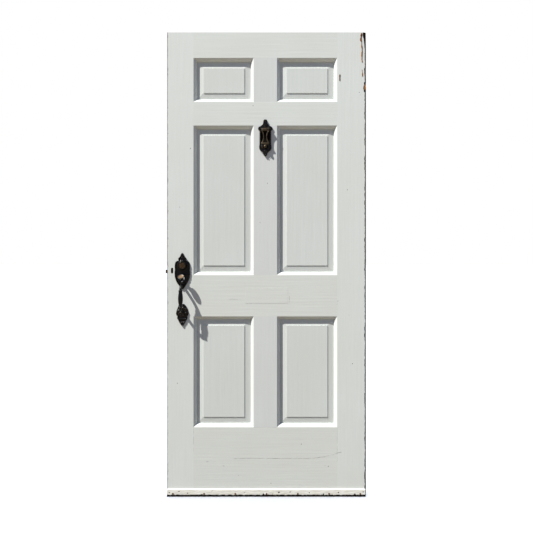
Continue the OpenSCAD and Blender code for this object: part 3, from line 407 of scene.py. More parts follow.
SOFT = {"inner_escutcheon": 0.8, "turn_piece": 0.6, "lock_front": 0.3, "latch_bolt": 0.4,
        "deadbolt": 0.5, "cylinder_collar": 0.8, "lock_cylinder": 0.3, "knocker_clapper": 0.25,
        "hinge_leaf_top": 0.3, "hinge_leaf_middle": 0.3, "hinge_leaf_bottom": 0.3}
for name, width in SOFT.items():
    soften(name, width)
print("softened", len(SOFT), "pieces")

# %% [markdown]
# ## A skin over rows of points
# Worn timber and castings aren't cut by a machine, so they're built row by row: each row is a closed
# loop of points, the loops are joined, and the two ends are capped. One helper does all of them.

# %% Skins and cuts
def loft(name, loops, material):
    """A closed skin over loops of points. Every loop has the same number of points."""
    count = len(loops[0])
    faces = []
    for row in range(len(loops) - 1):
        for k in range(count):
            a, b = row * count + k, row * count + (k + 1) % count
            faces.append((a, b, b + count, a + count))
    last = (len(loops) - 1) * count
    faces += [tuple(reversed(range(count))), tuple(range(last, last + count))]
    mesh = bpy.data.meshes.new(name)
    mesh.from_pydata([tuple(c * MM for c in point) for loop in loops for point in loop], [], faces)
    work = bmesh.new()
    work.from_mesh(mesh)
    bmesh.ops.recalc_face_normals(work, faces=work.faces)
    work.to_mesh(mesh)
    work.free()
    mesh.materials.append(material)
    piece = bpy.data.objects.new(name, mesh)
    scene.collection.objects.link(piece)
    return piece


def baked(piece):
    """The piece as its modifiers leave it, as one plain mesh."""
    depsgraph = bpy.context.evaluated_depsgraph_get()
    mesh = bpy.data.meshes.new_from_object(piece.evaluated_get(depsgraph), depsgraph=depsgraph)
    piece.modifiers.clear()
    piece.data = mesh
    return piece


def welded_copy(node, name):
    """A copy of a frame piece with its loose triangles joined."""
    mesh = nodes[node].data.copy()
    work = bmesh.new()
    work.from_mesh(mesh)
    bmesh.ops.remove_doubles(work, verts=work.verts, dist=0.00001)
    work.to_mesh(mesh)
    work.free()
    piece = bpy.data.objects.new(name, mesh)
    scene.collection.objects.link(piece)
    return piece


def cut_away(piece, cutter):
    """Takes the cutter out of the piece. The cut faces get the cutter's material."""
    modifier = piece.modifiers.new("cut", "BOOLEAN")
    modifier.operation = "DIFFERENCE"
    modifier.solver = "EXACT"
    modifier.material_mode = "TRANSFER"
    modifier.object = cutter
    baked(piece)
    bpy.data.objects.remove(cutter)
    return piece


def cloud(x, y, z, seed=0.0):
    """Smooth noise from -1 to 1 at a place that is already scaled."""
    return noise.noise(Vector((x + seed * 17.3, y - seed * 5.1, z + seed * 9.7)))


print("noise at the origin's neighbour", round(cloud(0.5, 0.5, 0.5), 3))

# %% [markdown]
# ## Worn vertical edges
# Years of knocks have broken the paint off both long edges. On the lock edge the arris has separate
# bites; on the hinge edge nearly all of it has gone, and dark wood shows as a ragged band a few
# millimetres wide. Each edge is worn by taking away a long noisy cutter, whose own wood stays on the
# cut. A shader mask could paint the band, but a real cut also catches the light and breaks the outline.

# %% Worn edges
def arris_cutter(name, edge_x, side, wear, material, z_top, step=5.0):
    """Outside of a rounded corner along Z. wear(z) gives its width across the face and its depth."""
    face = face_y / MM
    loops = []
    z = -3.0
    while z < z_top + 3.0 + step:
        across, deep = wear(z)
        middle_x, middle_y = edge_x - side * across, face + deep
        loop = [(middle_x, face - 4, z)]
        for k in range(7):
            turn = math.pi / 2 * k / 6
            loop.append((middle_x + side * across * math.sin(turn),
                         middle_y - deep * math.cos(turn), z))
        loop += [(edge_x + side * 4, middle_y, z), (edge_x + side * 4, face - 4, z)]
        loops.append(loop)
        z += step
    return loft(name, loops, material)


# Bites out of the lock edge: height, length and how far they reach across the face
pick = random.Random(41)
bites = [(2092, 40, 3.2), (2032, 44, 3.6), (1940, 66, 3.4), (1860, 20, 3.0), (1762, 24, 2.8)]
bites += [(pick.uniform(30, 2120), pick.uniform(8, 40), pick.uniform(2.0, 5.0)) for _ in range(62)]


def lock_edge_wear(z):
    reach = 2.5 + 1.2 * cloud(0, 0, z / 30) + 0.8 * cloud(0, 1, z / 8)
    for middle, length, depth in bites:
        away = abs(z - middle) / (length / 2)
        if away < 1:
            reach = max(reach, depth * (1 - away ** 3) * (0.8 + 0.4 * cloud(0, 3, z / 7)))
    return max(reach, 0.2), max(reach * 0.9, 0.2)


def hinge_edge_wear(z):
    across = 6.0 + 3.0 * cloud(1, 0, z / 60) + 3.0 * cloud(2, 0, z / 17) + 1.4 * cloud(3, 0, z / 6)
    if z > 2050:
        across += (z - 2050) / 84 * 8
    if 1860 < z < 1905:
        across += 5
    if z < 60:
        across += (60 - z) / 60 * 5
    across = min(max(across, 1.0), 17.5)
    return across, min(max(across * 0.55, 0.8), 9.0)


worn_lock_stile = welded_copy("lock_stile", "lock_stile_worn")
cut_away(worn_lock_stile, arris_cutter("lock_edge_cutter", left_x / MM, -1, lock_edge_wear,
                                       soaked_wood, top_z / MM, step=4.0))
worn_lipping = welded_copy("hinge_edge_lipping", "hinge_edge_lipping_worn")
cut_away(worn_lipping, arris_cutter("hinge_edge_cutter", right_x / MM, 1, hinge_edge_wear,
                                    soaked_wood, top_z / MM))
for piece, node in ((worn_lock_stile, "lock_stile"), (worn_lipping, "hinge_edge_lipping")):
    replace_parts(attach(piece, "leaf"), node)
    print(piece.name, len(piece.data.polygons), "faces")

# %% [markdown]
# ## The strip along the bottom
# A thin weather strip is nailed over the foot of the door. Its paint is thick, lumpy and flaking, its
# lower edge is a ragged near-black line, partly rotted wood and partly painted contact shadow, and each
# nail has bled a ring of rust. It's rebuilt as a fine skin, and two painted attributes, `bare` and
# `rust`, tell its material where the paint has gone.

# %% Flaking paint
def flaking_paint(name):
    material, tree, shader, place = new_material(name)
    crumbs = noise_at(tree, place, (5.0, 5.0, 3.0), detail=6.0, rough=0.75)
    bare = add_node(tree, "ShaderNodeAttribute", attribute_name="bare").outputs["Fac"]
    rusty = add_node(tree, "ShaderNodeAttribute", attribute_name="rust").outputs["Fac"]
    creamy = add_node(tree, "ShaderNodeMapRange", {0: noise_at(tree, place, 34.0), 1: 0.35, 2: 0.7})
    skin = add_node(tree, "ShaderNodeMix", {0: creamy, 6: srgb("#f3f2ec"), 7: srgb("#e6e3d9")},
                    data_type="RGBA")
    stain = add_node(tree, "ShaderNodeMath", {0: rusty, 1: crumbs}, operation="ADD")
    stain = add_node(tree, "ShaderNodeMapRange", {0: stain, 1: 1.0, 2: 1.5})
    skin = add_node(tree, "ShaderNodeMix", {0: stain, 6: skin, 7: srgb("#6b4a30")},
                    data_type="RGBA")
    gone = add_node(tree, "ShaderNodeMath", {0: crumbs, 1: 0.5}, operation="MULTIPLY")
    gone = add_node(tree, "ShaderNodeMath", {0: bare, 1: gone}, operation="ADD")
    gone = add_node(tree, "ShaderNodeMapRange", {0: gone, 1: 0.62, 2: 0.70})
    grain = noise_at(tree, place, (40.0, 4.0, 4.0))
    # Near-black where the paint has gone: rotted wood, and along the foot also painted contact shadow
    # under the strip
    dark_wood_and_foot_shadow = add_node(tree, "ShaderNodeMix", {0: grain, 6: srgb("#120c07"), 7: srgb("#040302")},
                    data_type="RGBA")
    height = add_node(tree, "ShaderNodeMath", {0: crumbs, 1: 0.6}, operation="MULTIPLY")
    height = add_node(tree, "ShaderNodeMath", {0: height, 1: gone}, operation="SUBTRACT")
    wire(tree, shader, {
        "Base Color": add_node(tree, "ShaderNodeMix", {0: gone, 6: skin, 7: dark_wood_and_foot_shadow},
                               data_type="RGBA"),
        "Roughness": 0.7,
        "Specular IOR Level": 0.2,
        "Normal": add_node(tree, "ShaderNodeBump", {"Height": height, "Distance": 0.7 * MM,
                                                    "Strength": 1.0})})
    return material


strip_paint = flaking_paint("flaking_cream_paint_on_strip")
print("strip paint nodes", len(strip_paint.node_tree.nodes))

# %% [markdown]
# The strip's mesh is a row of loops every 3 mm. The bare places are listed: each is a place along
# and up the strip and a size. The black foot, the lumps and the ragged edges come from seeded noise.

# %% The weathered strip
nail_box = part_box("bottom_strip_nails")
nail_z = (nail_box[0].z + nail_box[1].z) / 2 / MM
nail_first, nail_last = nail_box[0].x / MM + 3.6, nail_box[1].x / MM - 3.6
nail_xs = [nail_first + (nail_last - nail_first) * k / 6 for k in range(7)]
FLAKED = [(-14, 12, 10), (28, 14, 7), (56, 20, 12), (108, 22, 9), (-362, 16, 8), (-100, 18, 6),
          (-402, 24, 8), (196, 18, 6), (262, 12, 9), (330, 20, 7), (-250, 26, 5), (-296, 10, 8),
          (405, 12, 10), (444, 22, 9), (-446, 18, 7)]


def strip_wear(x, z):
    """How bare the strip is at a place on it, 0 to 1, and how rusty."""
    # Below this ragged line the foot is bare, and its near-black is partly rotted wood and partly
    # painted contact shadow
    ragged = 7.6 + 2.2 * cloud(x / 16, 0, 5) + 1.6 * cloud(x / 5, 0, 9)
    bare = 1.0 - max(0.0, min((z - ragged) / 2.5, 1.0))
    bare = max(bare, (x - right_x / MM + 6 + 3 * cloud(0, 0, z / 9)) / 5)
    for at_x, at_z, size in FLAKED:
        away = math.hypot((x - at_x) / (size * 0.45), (z - at_z) / (size * 0.3))
        away += 0.4 * cloud(x / 5, z / 4, 2)
        bare = max(bare, 1.0 - max(0.0, (away - 0.55) / 0.5))
    rust_ring = max(1.0 - math.hypot(x - n, (z - nail_z) * 1.2) / 8.5 for n in nail_xs)
    return min(max(bare, 0.0), 1.0), max(rust_ring * 1.2, 0.0)


strip_lo, strip_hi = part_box("bottom_strip")
back, front = face_y / MM, strip_lo.y / MM
high = strip_hi.z / MM
strip_loops, strip_marks = [], []
x = left_x / MM
while x <= right_x / MM + 0.01:
    foot = max(0.2, 0.7 + 1.0 * cloud(x / 14, 0, 5) + 0.8 * cloud(x / 5, 0, 7))
    levels = [foot + (high - 3.2 - foot) * k / 12 for k in range(13)]
    loop = [(x, back, foot)]
    for z in levels:
        bare, rusty = strip_wear(x, z)
        lump = 0.5 * cloud(x / 22, 1, z / 9) + 0.35 * cloud(x / 6, 2, z / 5)
        loop.append((x, front + 0.3 + lump + 0.7 * min(bare, 1.0), z))
    loop += [(x, front + 2.6 + 0.3 * cloud(x / 15, 4, 0), high - 0.8), (x, back, high - 0.2)]
    strip_loops.append(loop)
    for point in loop:
        strip_marks.append(strip_wear(point[0], point[2]))
    x += 3.0
strip = loft("bottom_strip_weathered", strip_loops, strip_paint)
for index, name in enumerate(("bare", "rust")):
    layer = strip.data.attributes.new(name, "FLOAT", "POINT")
    layer.data.foreach_set("value", [mark[index] for mark in strip_marks])
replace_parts(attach(strip, "leaf"), "bottom_strip")
print("strip", len(strip.data.polygons), "faces")

# %% [markdown]
# ## Cracks, hairlines and chips
# Timber moves with the seasons and the paint cracks over every joint. Cracks follow paths, so they
# are made by Geometry Nodes: a path is resampled, shaken a little, given an uneven radius and swept.
# Chips repeat, so they are instances. Both trees end by realizing and setting their material.

# %% Geometry node helpers
def new_geometry_tree(name, sockets):
    """A geometry tree with named inputs, its input node and its output node."""
    tree = bpy.data.node_groups.new(name, "GeometryNodeTree")
    tree.interface.new_socket("Geometry", in_out="INPUT", socket_type="NodeSocketGeometry")
    for label, kind in sockets:
        tree.interface.new_socket(label, in_out="INPUT", socket_type=kind)
    tree.interface.new_socket("Geometry", in_out="OUTPUT", socket_type="NodeSocketGeometry")
    return tree, tree.nodes.new("NodeGroupInput"), tree.nodes.new("NodeGroupOutput")


def run_tree(tree, piece, values):
    """Sets the inputs by name, evaluates once and keeps the plain mesh."""
    modifier = piece.modifiers.new(tree.name, "NODES")
    modifier.node_group = tree
    for item in tree.interface.items_tree:
        if item.in_out == "INPUT" and item.name in values:
            modifier[item.identifier] = values[item.name]
    return baked(piece)


def paths_object(name, paths):
    """Open paths in millimetres, as one mesh of edges."""
    vertices, edges = [], []
    for path in paths:
        start = len(vertices)
        vertices += [tuple(c * MM for c in point) for point in path]
        edges += [(start + k, start + k + 1) for k in range(len(path) - 1)]
    mesh = bpy.data.meshes.new(name)
    mesh.from_pydata(vertices, edges, [])
    piece = bpy.data.objects.new(name, mesh)
    scene.collection.objects.link(piece)
    return piece


print("helpers ready: new_geometry_tree, run_tree, paths_object")

# %% [markdown]
# A crack is a line that noise pushes about and that a thin tube follows. A lump is a small squeezed
# ball, of random size, on every point of a list. Each list of points is a mesh of its own.

# %% Trees for cracks and for scattered lumps
crack_tree, given, result = new_geometry_tree("cracks", [
    ("Width", "NodeSocketFloat"), ("Shake", "NodeSocketFloat"), ("Seed", "NodeSocketFloat"),
    ("Material", "NodeSocketMaterial")])
curve = add_node(crack_tree, "GeometryNodeMeshToCurve", {"Mesh": given.outputs["Geometry"]})
even = add_node(crack_tree, "GeometryNodeResampleCurve", {"Curve": curve.outputs[0], "Length": 4 * MM},
                mode="LENGTH")
shaker = add_node(crack_tree, "ShaderNodeTexNoise", {"W": given.outputs["Seed"], "Scale": 90.0},
                  noise_dimensions="4D")
centred = add_node(crack_tree, "ShaderNodeVectorMath", {0: shaker.outputs["Color"], 1: (0.5, 0.5, 0.5)},
                   operation="SUBTRACT")
flat = add_node(crack_tree, "ShaderNodeVectorMath", {0: centred.outputs[0], 1: (1.0, 0.0, 1.0)},
                operation="MULTIPLY")
sized = add_node(crack_tree, "ShaderNodeVectorMath",
                 {0: flat.outputs[0], "Scale": given.outputs["Shake"]}, operation="SCALE")
moved = add_node(crack_tree, "GeometryNodeSetPosition",
                 {"Geometry": even.outputs[0], "Offset": sized.outputs[0]})
uneven = add_node(crack_tree, "ShaderNodeTexNoise", {"W": given.outputs["Seed"], "Scale": 40.0},
                  noise_dimensions="4D")
radius = add_node(crack_tree, "ShaderNodeMapRange",
                  {0: uneven.outputs["Fac"], 1: 0.35, 2: 0.65, 3: 0.15, 4: 1.0})
scaled = add_node(crack_tree, "ShaderNodeMath", {0: radius.outputs[0], 1: given.outputs["Width"]},
                  operation="MULTIPLY")
ring = add_node(crack_tree, "GeometryNodeCurvePrimitiveCircle", {"Resolution": 6, "Radius": 1.0})
swept = add_node(crack_tree, "GeometryNodeCurveToMesh",
                 {"Curve": moved.outputs[0], "Profile Curve": ring.outputs[0],
                  "Scale": scaled.outputs[0], "Fill Caps": True})
solid = add_node(crack_tree, "GeometryNodeRealizeInstances", {0: swept.outputs[0]})
painted = add_node(crack_tree, "GeometryNodeSetMaterial",
                   {"Geometry": solid.outputs[0], "Material": given.outputs["Material"]})
crack_tree.links.new(painted.outputs[0], result.inputs[0])

lump_tree, given, result = new_geometry_tree("lumps", [
    ("Radius", "NodeSocketFloat"), ("Stretch", "NodeSocketVector"), ("Detail", "NodeSocketInt"),
    ("Seed", "NodeSocketInt"), ("Material", "NodeSocketMaterial")])
ball = add_node(lump_tree, "GeometryNodeMeshIcoSphere",
                {"Radius": given.outputs["Radius"], "Subdivisions": given.outputs["Detail"]})
vary = add_node(lump_tree, "FunctionNodeRandomValue",
                {2: 0.6, 3: 1.35, "Seed": given.outputs["Seed"]}, data_type="FLOAT")
shape = add_node(lump_tree, "ShaderNodeVectorMath",
                 {0: given.outputs["Stretch"], "Scale": vary.outputs[1]}, operation="SCALE")
placed = add_node(lump_tree, "GeometryNodeInstanceOnPoints",
                  {"Points": given.outputs["Geometry"], "Instance": ball.outputs[0],
                   "Scale": shape.outputs[0]})
solid = add_node(lump_tree, "GeometryNodeRealizeInstances", {0: placed.outputs[0]})
painted = add_node(lump_tree, "GeometryNodeSetMaterial",
                   {"Geometry": solid.outputs[0], "Material": given.outputs["Material"]})
lump_tree.links.new(painted.outputs[0], result.inputs[0])
print("crack tree", len(crack_tree.nodes), "nodes, lump tree", len(lump_tree.nodes))

# %% [markdown]
# ## Where this door has cracked
# The longest crack wanders across the bottom rail. A sharper one marks the lower edge of the patch
# that fills the old letter slot, and hairlines follow the shoulders of the joints. Each path lies in
# the face or just under it, so up to half of its tube shows. None is cut in: they stand proud of the
# paint, the hairlines and cracks by half a millimetre at most and the broad splits by up to 3 mm.

# %% Cracks
def on_face(points, sunk=0.0):
    return [(px, face_y / MM + sunk, pz) for px, pz in points]


patch_lo, patch_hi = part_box("letter_slot_patch")
px0, px1, pz0 = patch_lo.x / MM, patch_hi.x / MM, patch_lo.z / MM
TENON, MOULDING = 23, 14
stile_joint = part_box("bottom_rail")[0].x / MM + TENON
hinge_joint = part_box("bottom_rail")[1].x / MM - TENON
sill_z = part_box("bottom_rail")[1].z / MM - MOULDING
cracks = paths_object("face_cracks", [
    on_face([(-278, 158), (-268, 161)]),
    on_face([(-150, 173), (-80, 175), (0, 173), (90, 175), (200, 174), (248, 179), (300, 190),
             (344, 204)]),
    on_face([(px0, pz0), (-33, pz0 + 0.4)]),
    on_face([(-172, 907), (-134, 906)]),
])
hairlines = paths_object("face_hairlines", [
    on_face([(-33, pz0), (px1, pz0)], 0.15), on_face([(px0, pz0), (px0, pz0 + 26)], 0.2),
    on_face([(105, 921), (106, 887)], 0.1), on_face([(119, 920), (119, 886)], 0.2),
    on_face([(stile_joint, sill_z - 4), (stile_joint, 205)], 0.1),
    on_face([(hinge_joint, sill_z - 4), (hinge_joint, 160)], 0.1),
    on_face([(-58, sill_z), (48, sill_z)], 0.1),
    on_face([(stile_joint, 1008), (stile_joint, 830)], 0.25),
    on_face([(hinge_joint, 1008), (hinge_joint, 830)], 0.25),
])
splits = paths_object("face_splits", [
    on_face([(436, 2128), (435, 2110), (437, 2095), (439, 2060), (438, 2030), (439, 1998)]),
    on_face([(440, 1962), (441, 1932)]), on_face([(338, 1940), (336, 1926), (336, 1911)]),
])
# The grey of the cracks and hairlines is painted shadow: the tubes stand proud, so their colour stands
# for the shade inside a crack
for piece, width, shake, material in ((cracks, 0.50, 6.0, crack_shadow_and_primer_grey), (hairlines, 0.34, 2.0, crack_shadow_and_primer_grey),
                                      (splits, 3.0, 6.0, bare_wood)):
    run_tree(crack_tree, piece, {"Width": width * MM, "Shake": shake * MM, "Seed": 3.0,
                                 "Material": material})
    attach(piece, "leaf")
    print(piece.name, len(piece.data.polygons), "faces")

# %% [markdown]
# ## Chips
# Small losses of paint: nicks at the corners of the mouldings and a scatter of specks in the old grey
# primer. They repeat, so they are instances of one flat lump, which stands a few tenths of a millimetre
# proud. The larger breaks along the lipping are in bare wood and stand up to about 0.8 mm proud.

# %% Chips
chips = paths_object("face_chips", [on_face([point]) for point in
                     [(-62, 1797), (328, 898), (379, 833),
                      (269, 142), (284, 138), (-200, 142), (-196, 140), (426, 1858), (431, 1846),
                      (-350, 1600), (-400, 1330), (372, 1410), (20, 60), (-130, 96), (160, 240),
                      (-410, 520), (395, 610), (-30, 1260), (4, 1440)]])
# Along the joint of the lipping the wood itself has split off, widest at the top of the door
breaks = paths_object("face_breaks", [on_face([point], 0.6) for point in
                      [(437, 2124), (434, 2119), (436, 2112), (432, 2108), (434, 2101), (438, 2092),
                       (452, 1888), (453, 1880), (451, 1873)]])
for piece, radius, stretch, material in ((chips, 1.0, (1.2, 0.35, 2.0), crack_shadow_and_primer_grey),
                                         (breaks, 4.2, (0.9, 0.25, 2.0), bare_wood)):
    run_tree(lump_tree, piece, {"Radius": radius * MM, "Stretch": stretch, "Detail": 3, "Seed": 7,
                                "Material": material})
    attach(piece, "leaf")
    print(piece.name, len(piece.data.polygons), "faces")

# %% [markdown]
# ## The old keyhole
# An earlier lock left an oblong hole beside the plate. A real hole could be cut into the stile. Here a
# black oblong plug, a quarter of a millimetre proud of the face, only stands in for it. Its black is
# painted shade: the dark inside the hole.

# %% Old keyhole
KEYHOLE_X, KEYHOLE_Z = -435.0, 1039.0
HALF_WIDTH, HALF_HEIGHT = 5.2, 12.2
lining = loft("old_keyhole_lining", [
    [(KEYHOLE_X + HALF_WIDTH * math.cos(t * math.pi / 20), y,
      KEYHOLE_Z + HALF_HEIGHT * math.sin(t * math.pi / 20)) for t in range(40)]
    for y in (face_y / MM - 0.25, face_y / MM + 1.5)], painted_shade_black)
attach(lining, "leaf")
print("keyhole plug", 2 * HALF_WIDTH, "x", 2 * HALF_HEIGHT, "mm")

# %% [markdown]
# ## Cast plates
# The plates behind the grip and the knocker are ornamental castings: a rolled rim, beads inside it
# and leaves in the middle. The frame has their outline and thickness. Here each becomes a relief: rows
# of points follow the frame's own outline, and a height is worked out for every point, as a carver
# would lower the ground and leave the leaves. The attribute `high` tells the lacquer where hands rub.

# %% Relief helper
def outline_of(node, middle_x, deep, rows):
    """Half-widths of a piece at even heights, read on the frame's mesh, in millimetres."""
    tree = BVHTree.FromObject(nodes[node], bpy.context.evaluated_depsgraph_get())
    lo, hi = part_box(node)
    found = []
    for row in range(rows + 1):
        z = lo.z + (hi.z - lo.z) * (0.004 + 0.992 * row / rows)
        hit = tree.ray_cast(Vector((middle_x - 0.2, deep, z)), Vector((1, 0, 0)))[0]
        found.append((z / MM, (middle_x - hit.x) / MM if hit else 0.6))
    return found


def relief(name, node, middle_x, height, rows=110, columns=48, material=None):
    """A casting with a flat back on the door's face. height(u, x, z, edge) is in millimetres, where
    edge is the distance in from the outline."""
    outline = outline_of(node, middle_x, face_y - 1.5 * MM, rows)
    middle, back = middle_x / MM, face_y / MM
    loops, marks = [], []
    for z, half_width in outline:
        half_width = max(half_width, 0.6)
        row_z = min(z - outline[0][0], outline[-1][0] - z)
        loop = []
        for k in range(columns + 1):
            u = math.sin(math.pi / 2 * (2 * k / columns - 1))
            x = u * half_width
            edge = min(half_width - abs(x), row_z + 0.4)
            rise = max(height(u, x, z, edge) * min(1.0, 0.25 + edge / 1.6), 0.6)
            loop.append((middle + x, back - rise, z))
            marks.append(rise)
        loop.append((middle + half_width, back, z))
        loop.append((middle - half_width, back, z))
        marks += [0.0, 0.0]
        loops.append(loop)
    piece = loft(name, loops, material or black_iron)
    top = max(marks)
    layer = piece.data.attributes.new("high", "FLOAT", "POINT")
    layer.data.foreach_set("value", [mark / top for mark in marks])
    for polygon in piece.data.polygons:
        polygon.use_smooth = True
    return piece, outline


def hole_cutter(name, x, z, radius_x, radius_z, material):
    """An upright oval post along Y, for cutting a hole through a plate."""
    def oval(y):
        return [(x + radius_x * math.cos(t * math.pi / 24), y, z + radius_z * math.sin(t * math.pi / 24))
                for t in range(48)]
    return loft(name, [oval(face_y / MM - 40), oval(face_y / MM + 4)], material)


print("helpers ready: outline_of, relief, hole_cutter")

# %% [markdown]
# ## The plate behind the thumb press
# A shouldered plate with a fan at the top, a raised boss round the lock cylinder and leaves at the foot.
# Each feature is a soft ridge that is added to the height. The holes are cut after the relief is made.

# %% The plate behind the thumb press
def ridge(value, centre, width):
    """A soft ridge, 1 at the centre and 0 at the width."""
    away = abs(value - centre) / width
    return (math.cos(math.pi * away) + 1) / 2 if away < 1 else 0.0


def upper_height(u, x, z, edge):
    h = 3.6 + 1.9 * ridge(edge, 2.2, 2.4) - 1.1 * ridge(edge, 6.0, 3.0)
    boss = math.hypot(x, z - cylinder_z / MM)
    h += 3.0 * ridge(boss, 0.0, 30) + 1.6 * ridge(boss, 22.5, 2.6)
    if z > 1090:
        fan = math.atan2(x, z - 1086)
        h += 1.9 * abs(math.cos(3.5 * fan)) * min(1.0, (z - 1090) / 8)
    if z < 1010:
        h += 3.0 * ridge(x, 0.0, 9) * ridge(z, 975, 34) + 1.6 * ridge(abs(x), 12, 5) * ridge(z, 990, 22)
        h += 1.0 * math.sin(z / 3.4 + abs(x) / 2.6)
    h += 0.55 * cloud(x / 4, 0, z / 4, 1) + 0.35 * cloud(x / 2, 0, z / 2, 2)
    return h


plate, plate_outline = relief("upper_escutcheon_cast", "upper_escutcheon", lock_x, upper_height)
pit = black_casting("black_recess", rubbed="#2a241c", amount=0.2)
cut_away(plate, hole_cutter("cylinder_hole", lock_x / MM, cylinder_z / MM, 14.6, 14.6, pit))
LEVER_HOLE_Z = 1002.0
cut_away(plate, hole_cutter("lever_hole", lock_x / MM, LEVER_HOLE_Z, 9.5, 15.0, pit))
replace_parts(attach(plate, "leaf"), "upper_escutcheon")
print("upper plate", len(plate.data.polygons), "faces")

# %% [markdown]
# ## The plate under the grip
# A pointed leaf whose veins spread from one spot. The veins are waves of the angle and of the distance
# from that spot, and a little seeded noise keeps them from looking machined.

# %% The plate under the grip
lower_middle = (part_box("lower_escutcheon")[0].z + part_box("lower_escutcheon")[1].z) / 2 / MM


def lower_height(u, x, z, edge):
    out = math.hypot(x, z - (lower_middle + 14))
    turn = math.atan2(x, z - (lower_middle + 14))
    h = 3.0 + 2.6 * ridge(out, 0, 40)
    h += 1.7 * abs(math.cos(4 * turn + out / 9)) * min(1.0, out / 10)
    h += 1.2 * math.sin(out / 2.4) * min(1.0, out / 12)
    h += 0.7 * cloud(x / 4, 0, z / 4, 3) + 0.5 * cloud(x / 2, 0, z / 2, 4)
    return h + 1.2 * ridge(edge, 2.0, 2.0)


lower_plate, lower_outline = relief("lower_escutcheon_cast", "lower_escutcheon", lock_x, lower_height)
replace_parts(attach(lower_plate, "leaf"), "lower_escutcheon")
print("lower plate", len(lower_plate.data.polygons), "faces")

# %% [markdown]
# ## The knocker's plate
# A raised frame round a deep dark hollow, flared shoulders that carry the pin, and a leafy tail. A
# relief can't overhang, so the two ears for the pin are lofted on their own, rounded about the pin.

# %% The knocker plate
pin_lo, pin_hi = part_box("knocker_pin")
pin_z = (pin_lo.z + pin_hi.z) / 2 / MM
pin_y = (pin_lo.y + pin_hi.y) / 2 / MM
hollow_top, hollow_bottom = pin_z - 7, pin_z - 66


def knocker_height(u, x, z, edge):
    h = 6.0 + 0.6 * cloud(x / 4, 0, z / 4, 5) + 0.4 * cloud(x / 2, 0, z / 2, 6)
    inside = min(20.5 - abs(x), hollow_top - z, z - hollow_bottom)
    if inside > 0:
        return h - 3.6 * min(1.0, inside / 2.0)
    frame_rise = 4.2 * ridge(inside, -2.2, 3.4)
    if z > hollow_top:
        fan = math.atan2(x, z - pin_z + 6)
        return h + frame_rise * 0.5 + 1.8 * abs(math.cos(3 * fan)) * min(1.0, (z - hollow_top) / 10)
    if z < hollow_bottom:
        out = math.hypot(x, z - hollow_bottom + 6)
        fan = math.atan2(x, hollow_bottom - z + 4)
        return h + 1.8 * abs(math.cos(2.5 * fan + out / 11)) + 1.2 * ridge(abs(x), 14, 6)
    return h + frame_rise


knocker, knocker_outline = relief("knocker_plate_cast", "knocker_plate", knocker_x, knocker_height,
                                  rows=130, columns=60)
EAR_OUT, EAR_ROUND, EAR_THICK = 21, 5, 5
nose = [k * math.pi / 12 for k in range(6, -7, -1)]
for label, side in (("left", -1), ("right", 1)):
    loops = []
    for ear_x in (knocker_x / MM + side * EAR_OUT + dx for dx in (-EAR_THICK / 2, EAR_THICK / 2)):
        loop = [(ear_x, pin_y - EAR_ROUND * math.cos(t), pin_z + EAR_ROUND * math.sin(t)) for t in nose]
        loops.append(loop + [(ear_x, face_y / MM - 1, pin_z - 6), (ear_x, face_y / MM - 1, pin_z + 6)])
    ear = loft("knocker_ear_" + label, loops, black_iron)
    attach(ear, "leaf")
# The floor of the hollow is painted near-black: painted shade, the dark under the raised frame and the
# clapper
knocker.data.materials.append(painted_shade_black)
for polygon in knocker.data.polygons:
    spot = polygon.center / MM
    if (abs(spot.x - knocker_x / MM) < 19.5 and hollow_bottom + 1 < spot.z < hollow_top - 1
            and spot.y > face_y / MM - 5):
        polygon.material_index = 1
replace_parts(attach(knocker, "leaf"), "knocker_plate")
print("knocker plate", len(knocker.data.polygons), "faces")

# %% [markdown]
# ## Beads round the castings
# A string of beads runs just inside each rim. Beads repeat along a path, so they are instances on an
# even spacing, and the outline that was read for the relief is their path.

# %% Beads
def beads_along(name, middle_x, outline, inset, spacing, radius, height_mm, z_low=None, z_high=None):
    points = []
    for side in (-1, 1):
        travelled = spacing
        before = None
        for z, half_width in outline:
            if half_width < inset + 3 or (z_low and z < z_low) or (z_high and z > z_high):
                before = None
                continue
            here = (middle_x / MM + side * (half_width - inset), z)
            if before:
                travelled += math.dist(here, before)
            before = here
            if travelled >= spacing:
                travelled = 0
                points.append((here[0], face_y / MM - height_mm, here[1]))
    piece = paths_object(name, [[point] for point in points])
    run_tree(lump_tree, piece, {"Radius": radius * MM, "Stretch": (1, 1, 1), "Detail": 2, "Seed": 11,
                                "Material": black_iron})
    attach(piece, "leaf")
    print(name, len(points), "beads")


beads_along("upper_plate_beads", lock_x, plate_outline, 3.4, 6.4, 2.3, 5.0, z_low=968)
beads_along("lower_plate_beads", lock_x, lower_outline, 4.0, 7.0, 2.5, 4.0)
beads_along("knocker_beads", knocker_x, knocker_outline, 3.2, 7.5, 1.9, 8.0, z_high=hollow_bottom)

# %% [markdown]
# ## The grip
# A turned spindle with a swelling in the middle and beads at both necks, cast in one with its feet. The
# frame has the swelling and the bends. The beads are added as rings round the same line.

# %% Neck beads on the grip
GRIP_MID_Z, NECK_R = 913.0, 5.0
grip_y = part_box("grip_handle")[0].y / MM + 11


def ring_loops(z, r_out, thick):
    """Loops of a small torus-like bead around the grip's line."""
    loops = []
    for k in range(9):
        t = math.pi * k / 8
        r = NECK_R + (r_out - NECK_R) * math.sin(t)
        height = z - thick * math.cos(t)
        loops.append([(lock_x / MM + r * math.cos(a * math.pi / 16),
                       grip_y + r * math.sin(a * math.pi / 16), height) for a in range(32)])
    return loops


for label, above, size in (("top", 37, 9.2), ("top_small", 31.5, 7.8),
                           ("foot", -37, 9.2), ("foot_small", -31.5, 7.8)):
    bead = loft("grip_bead_" + label, ring_loops(GRIP_MID_Z + above, size, 2.8), black_iron)
    for polygon in bead.data.polygons:
        polygon.use_smooth = True
    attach(bead, "leaf")
print("grip line at y", round(grip_y, 1))

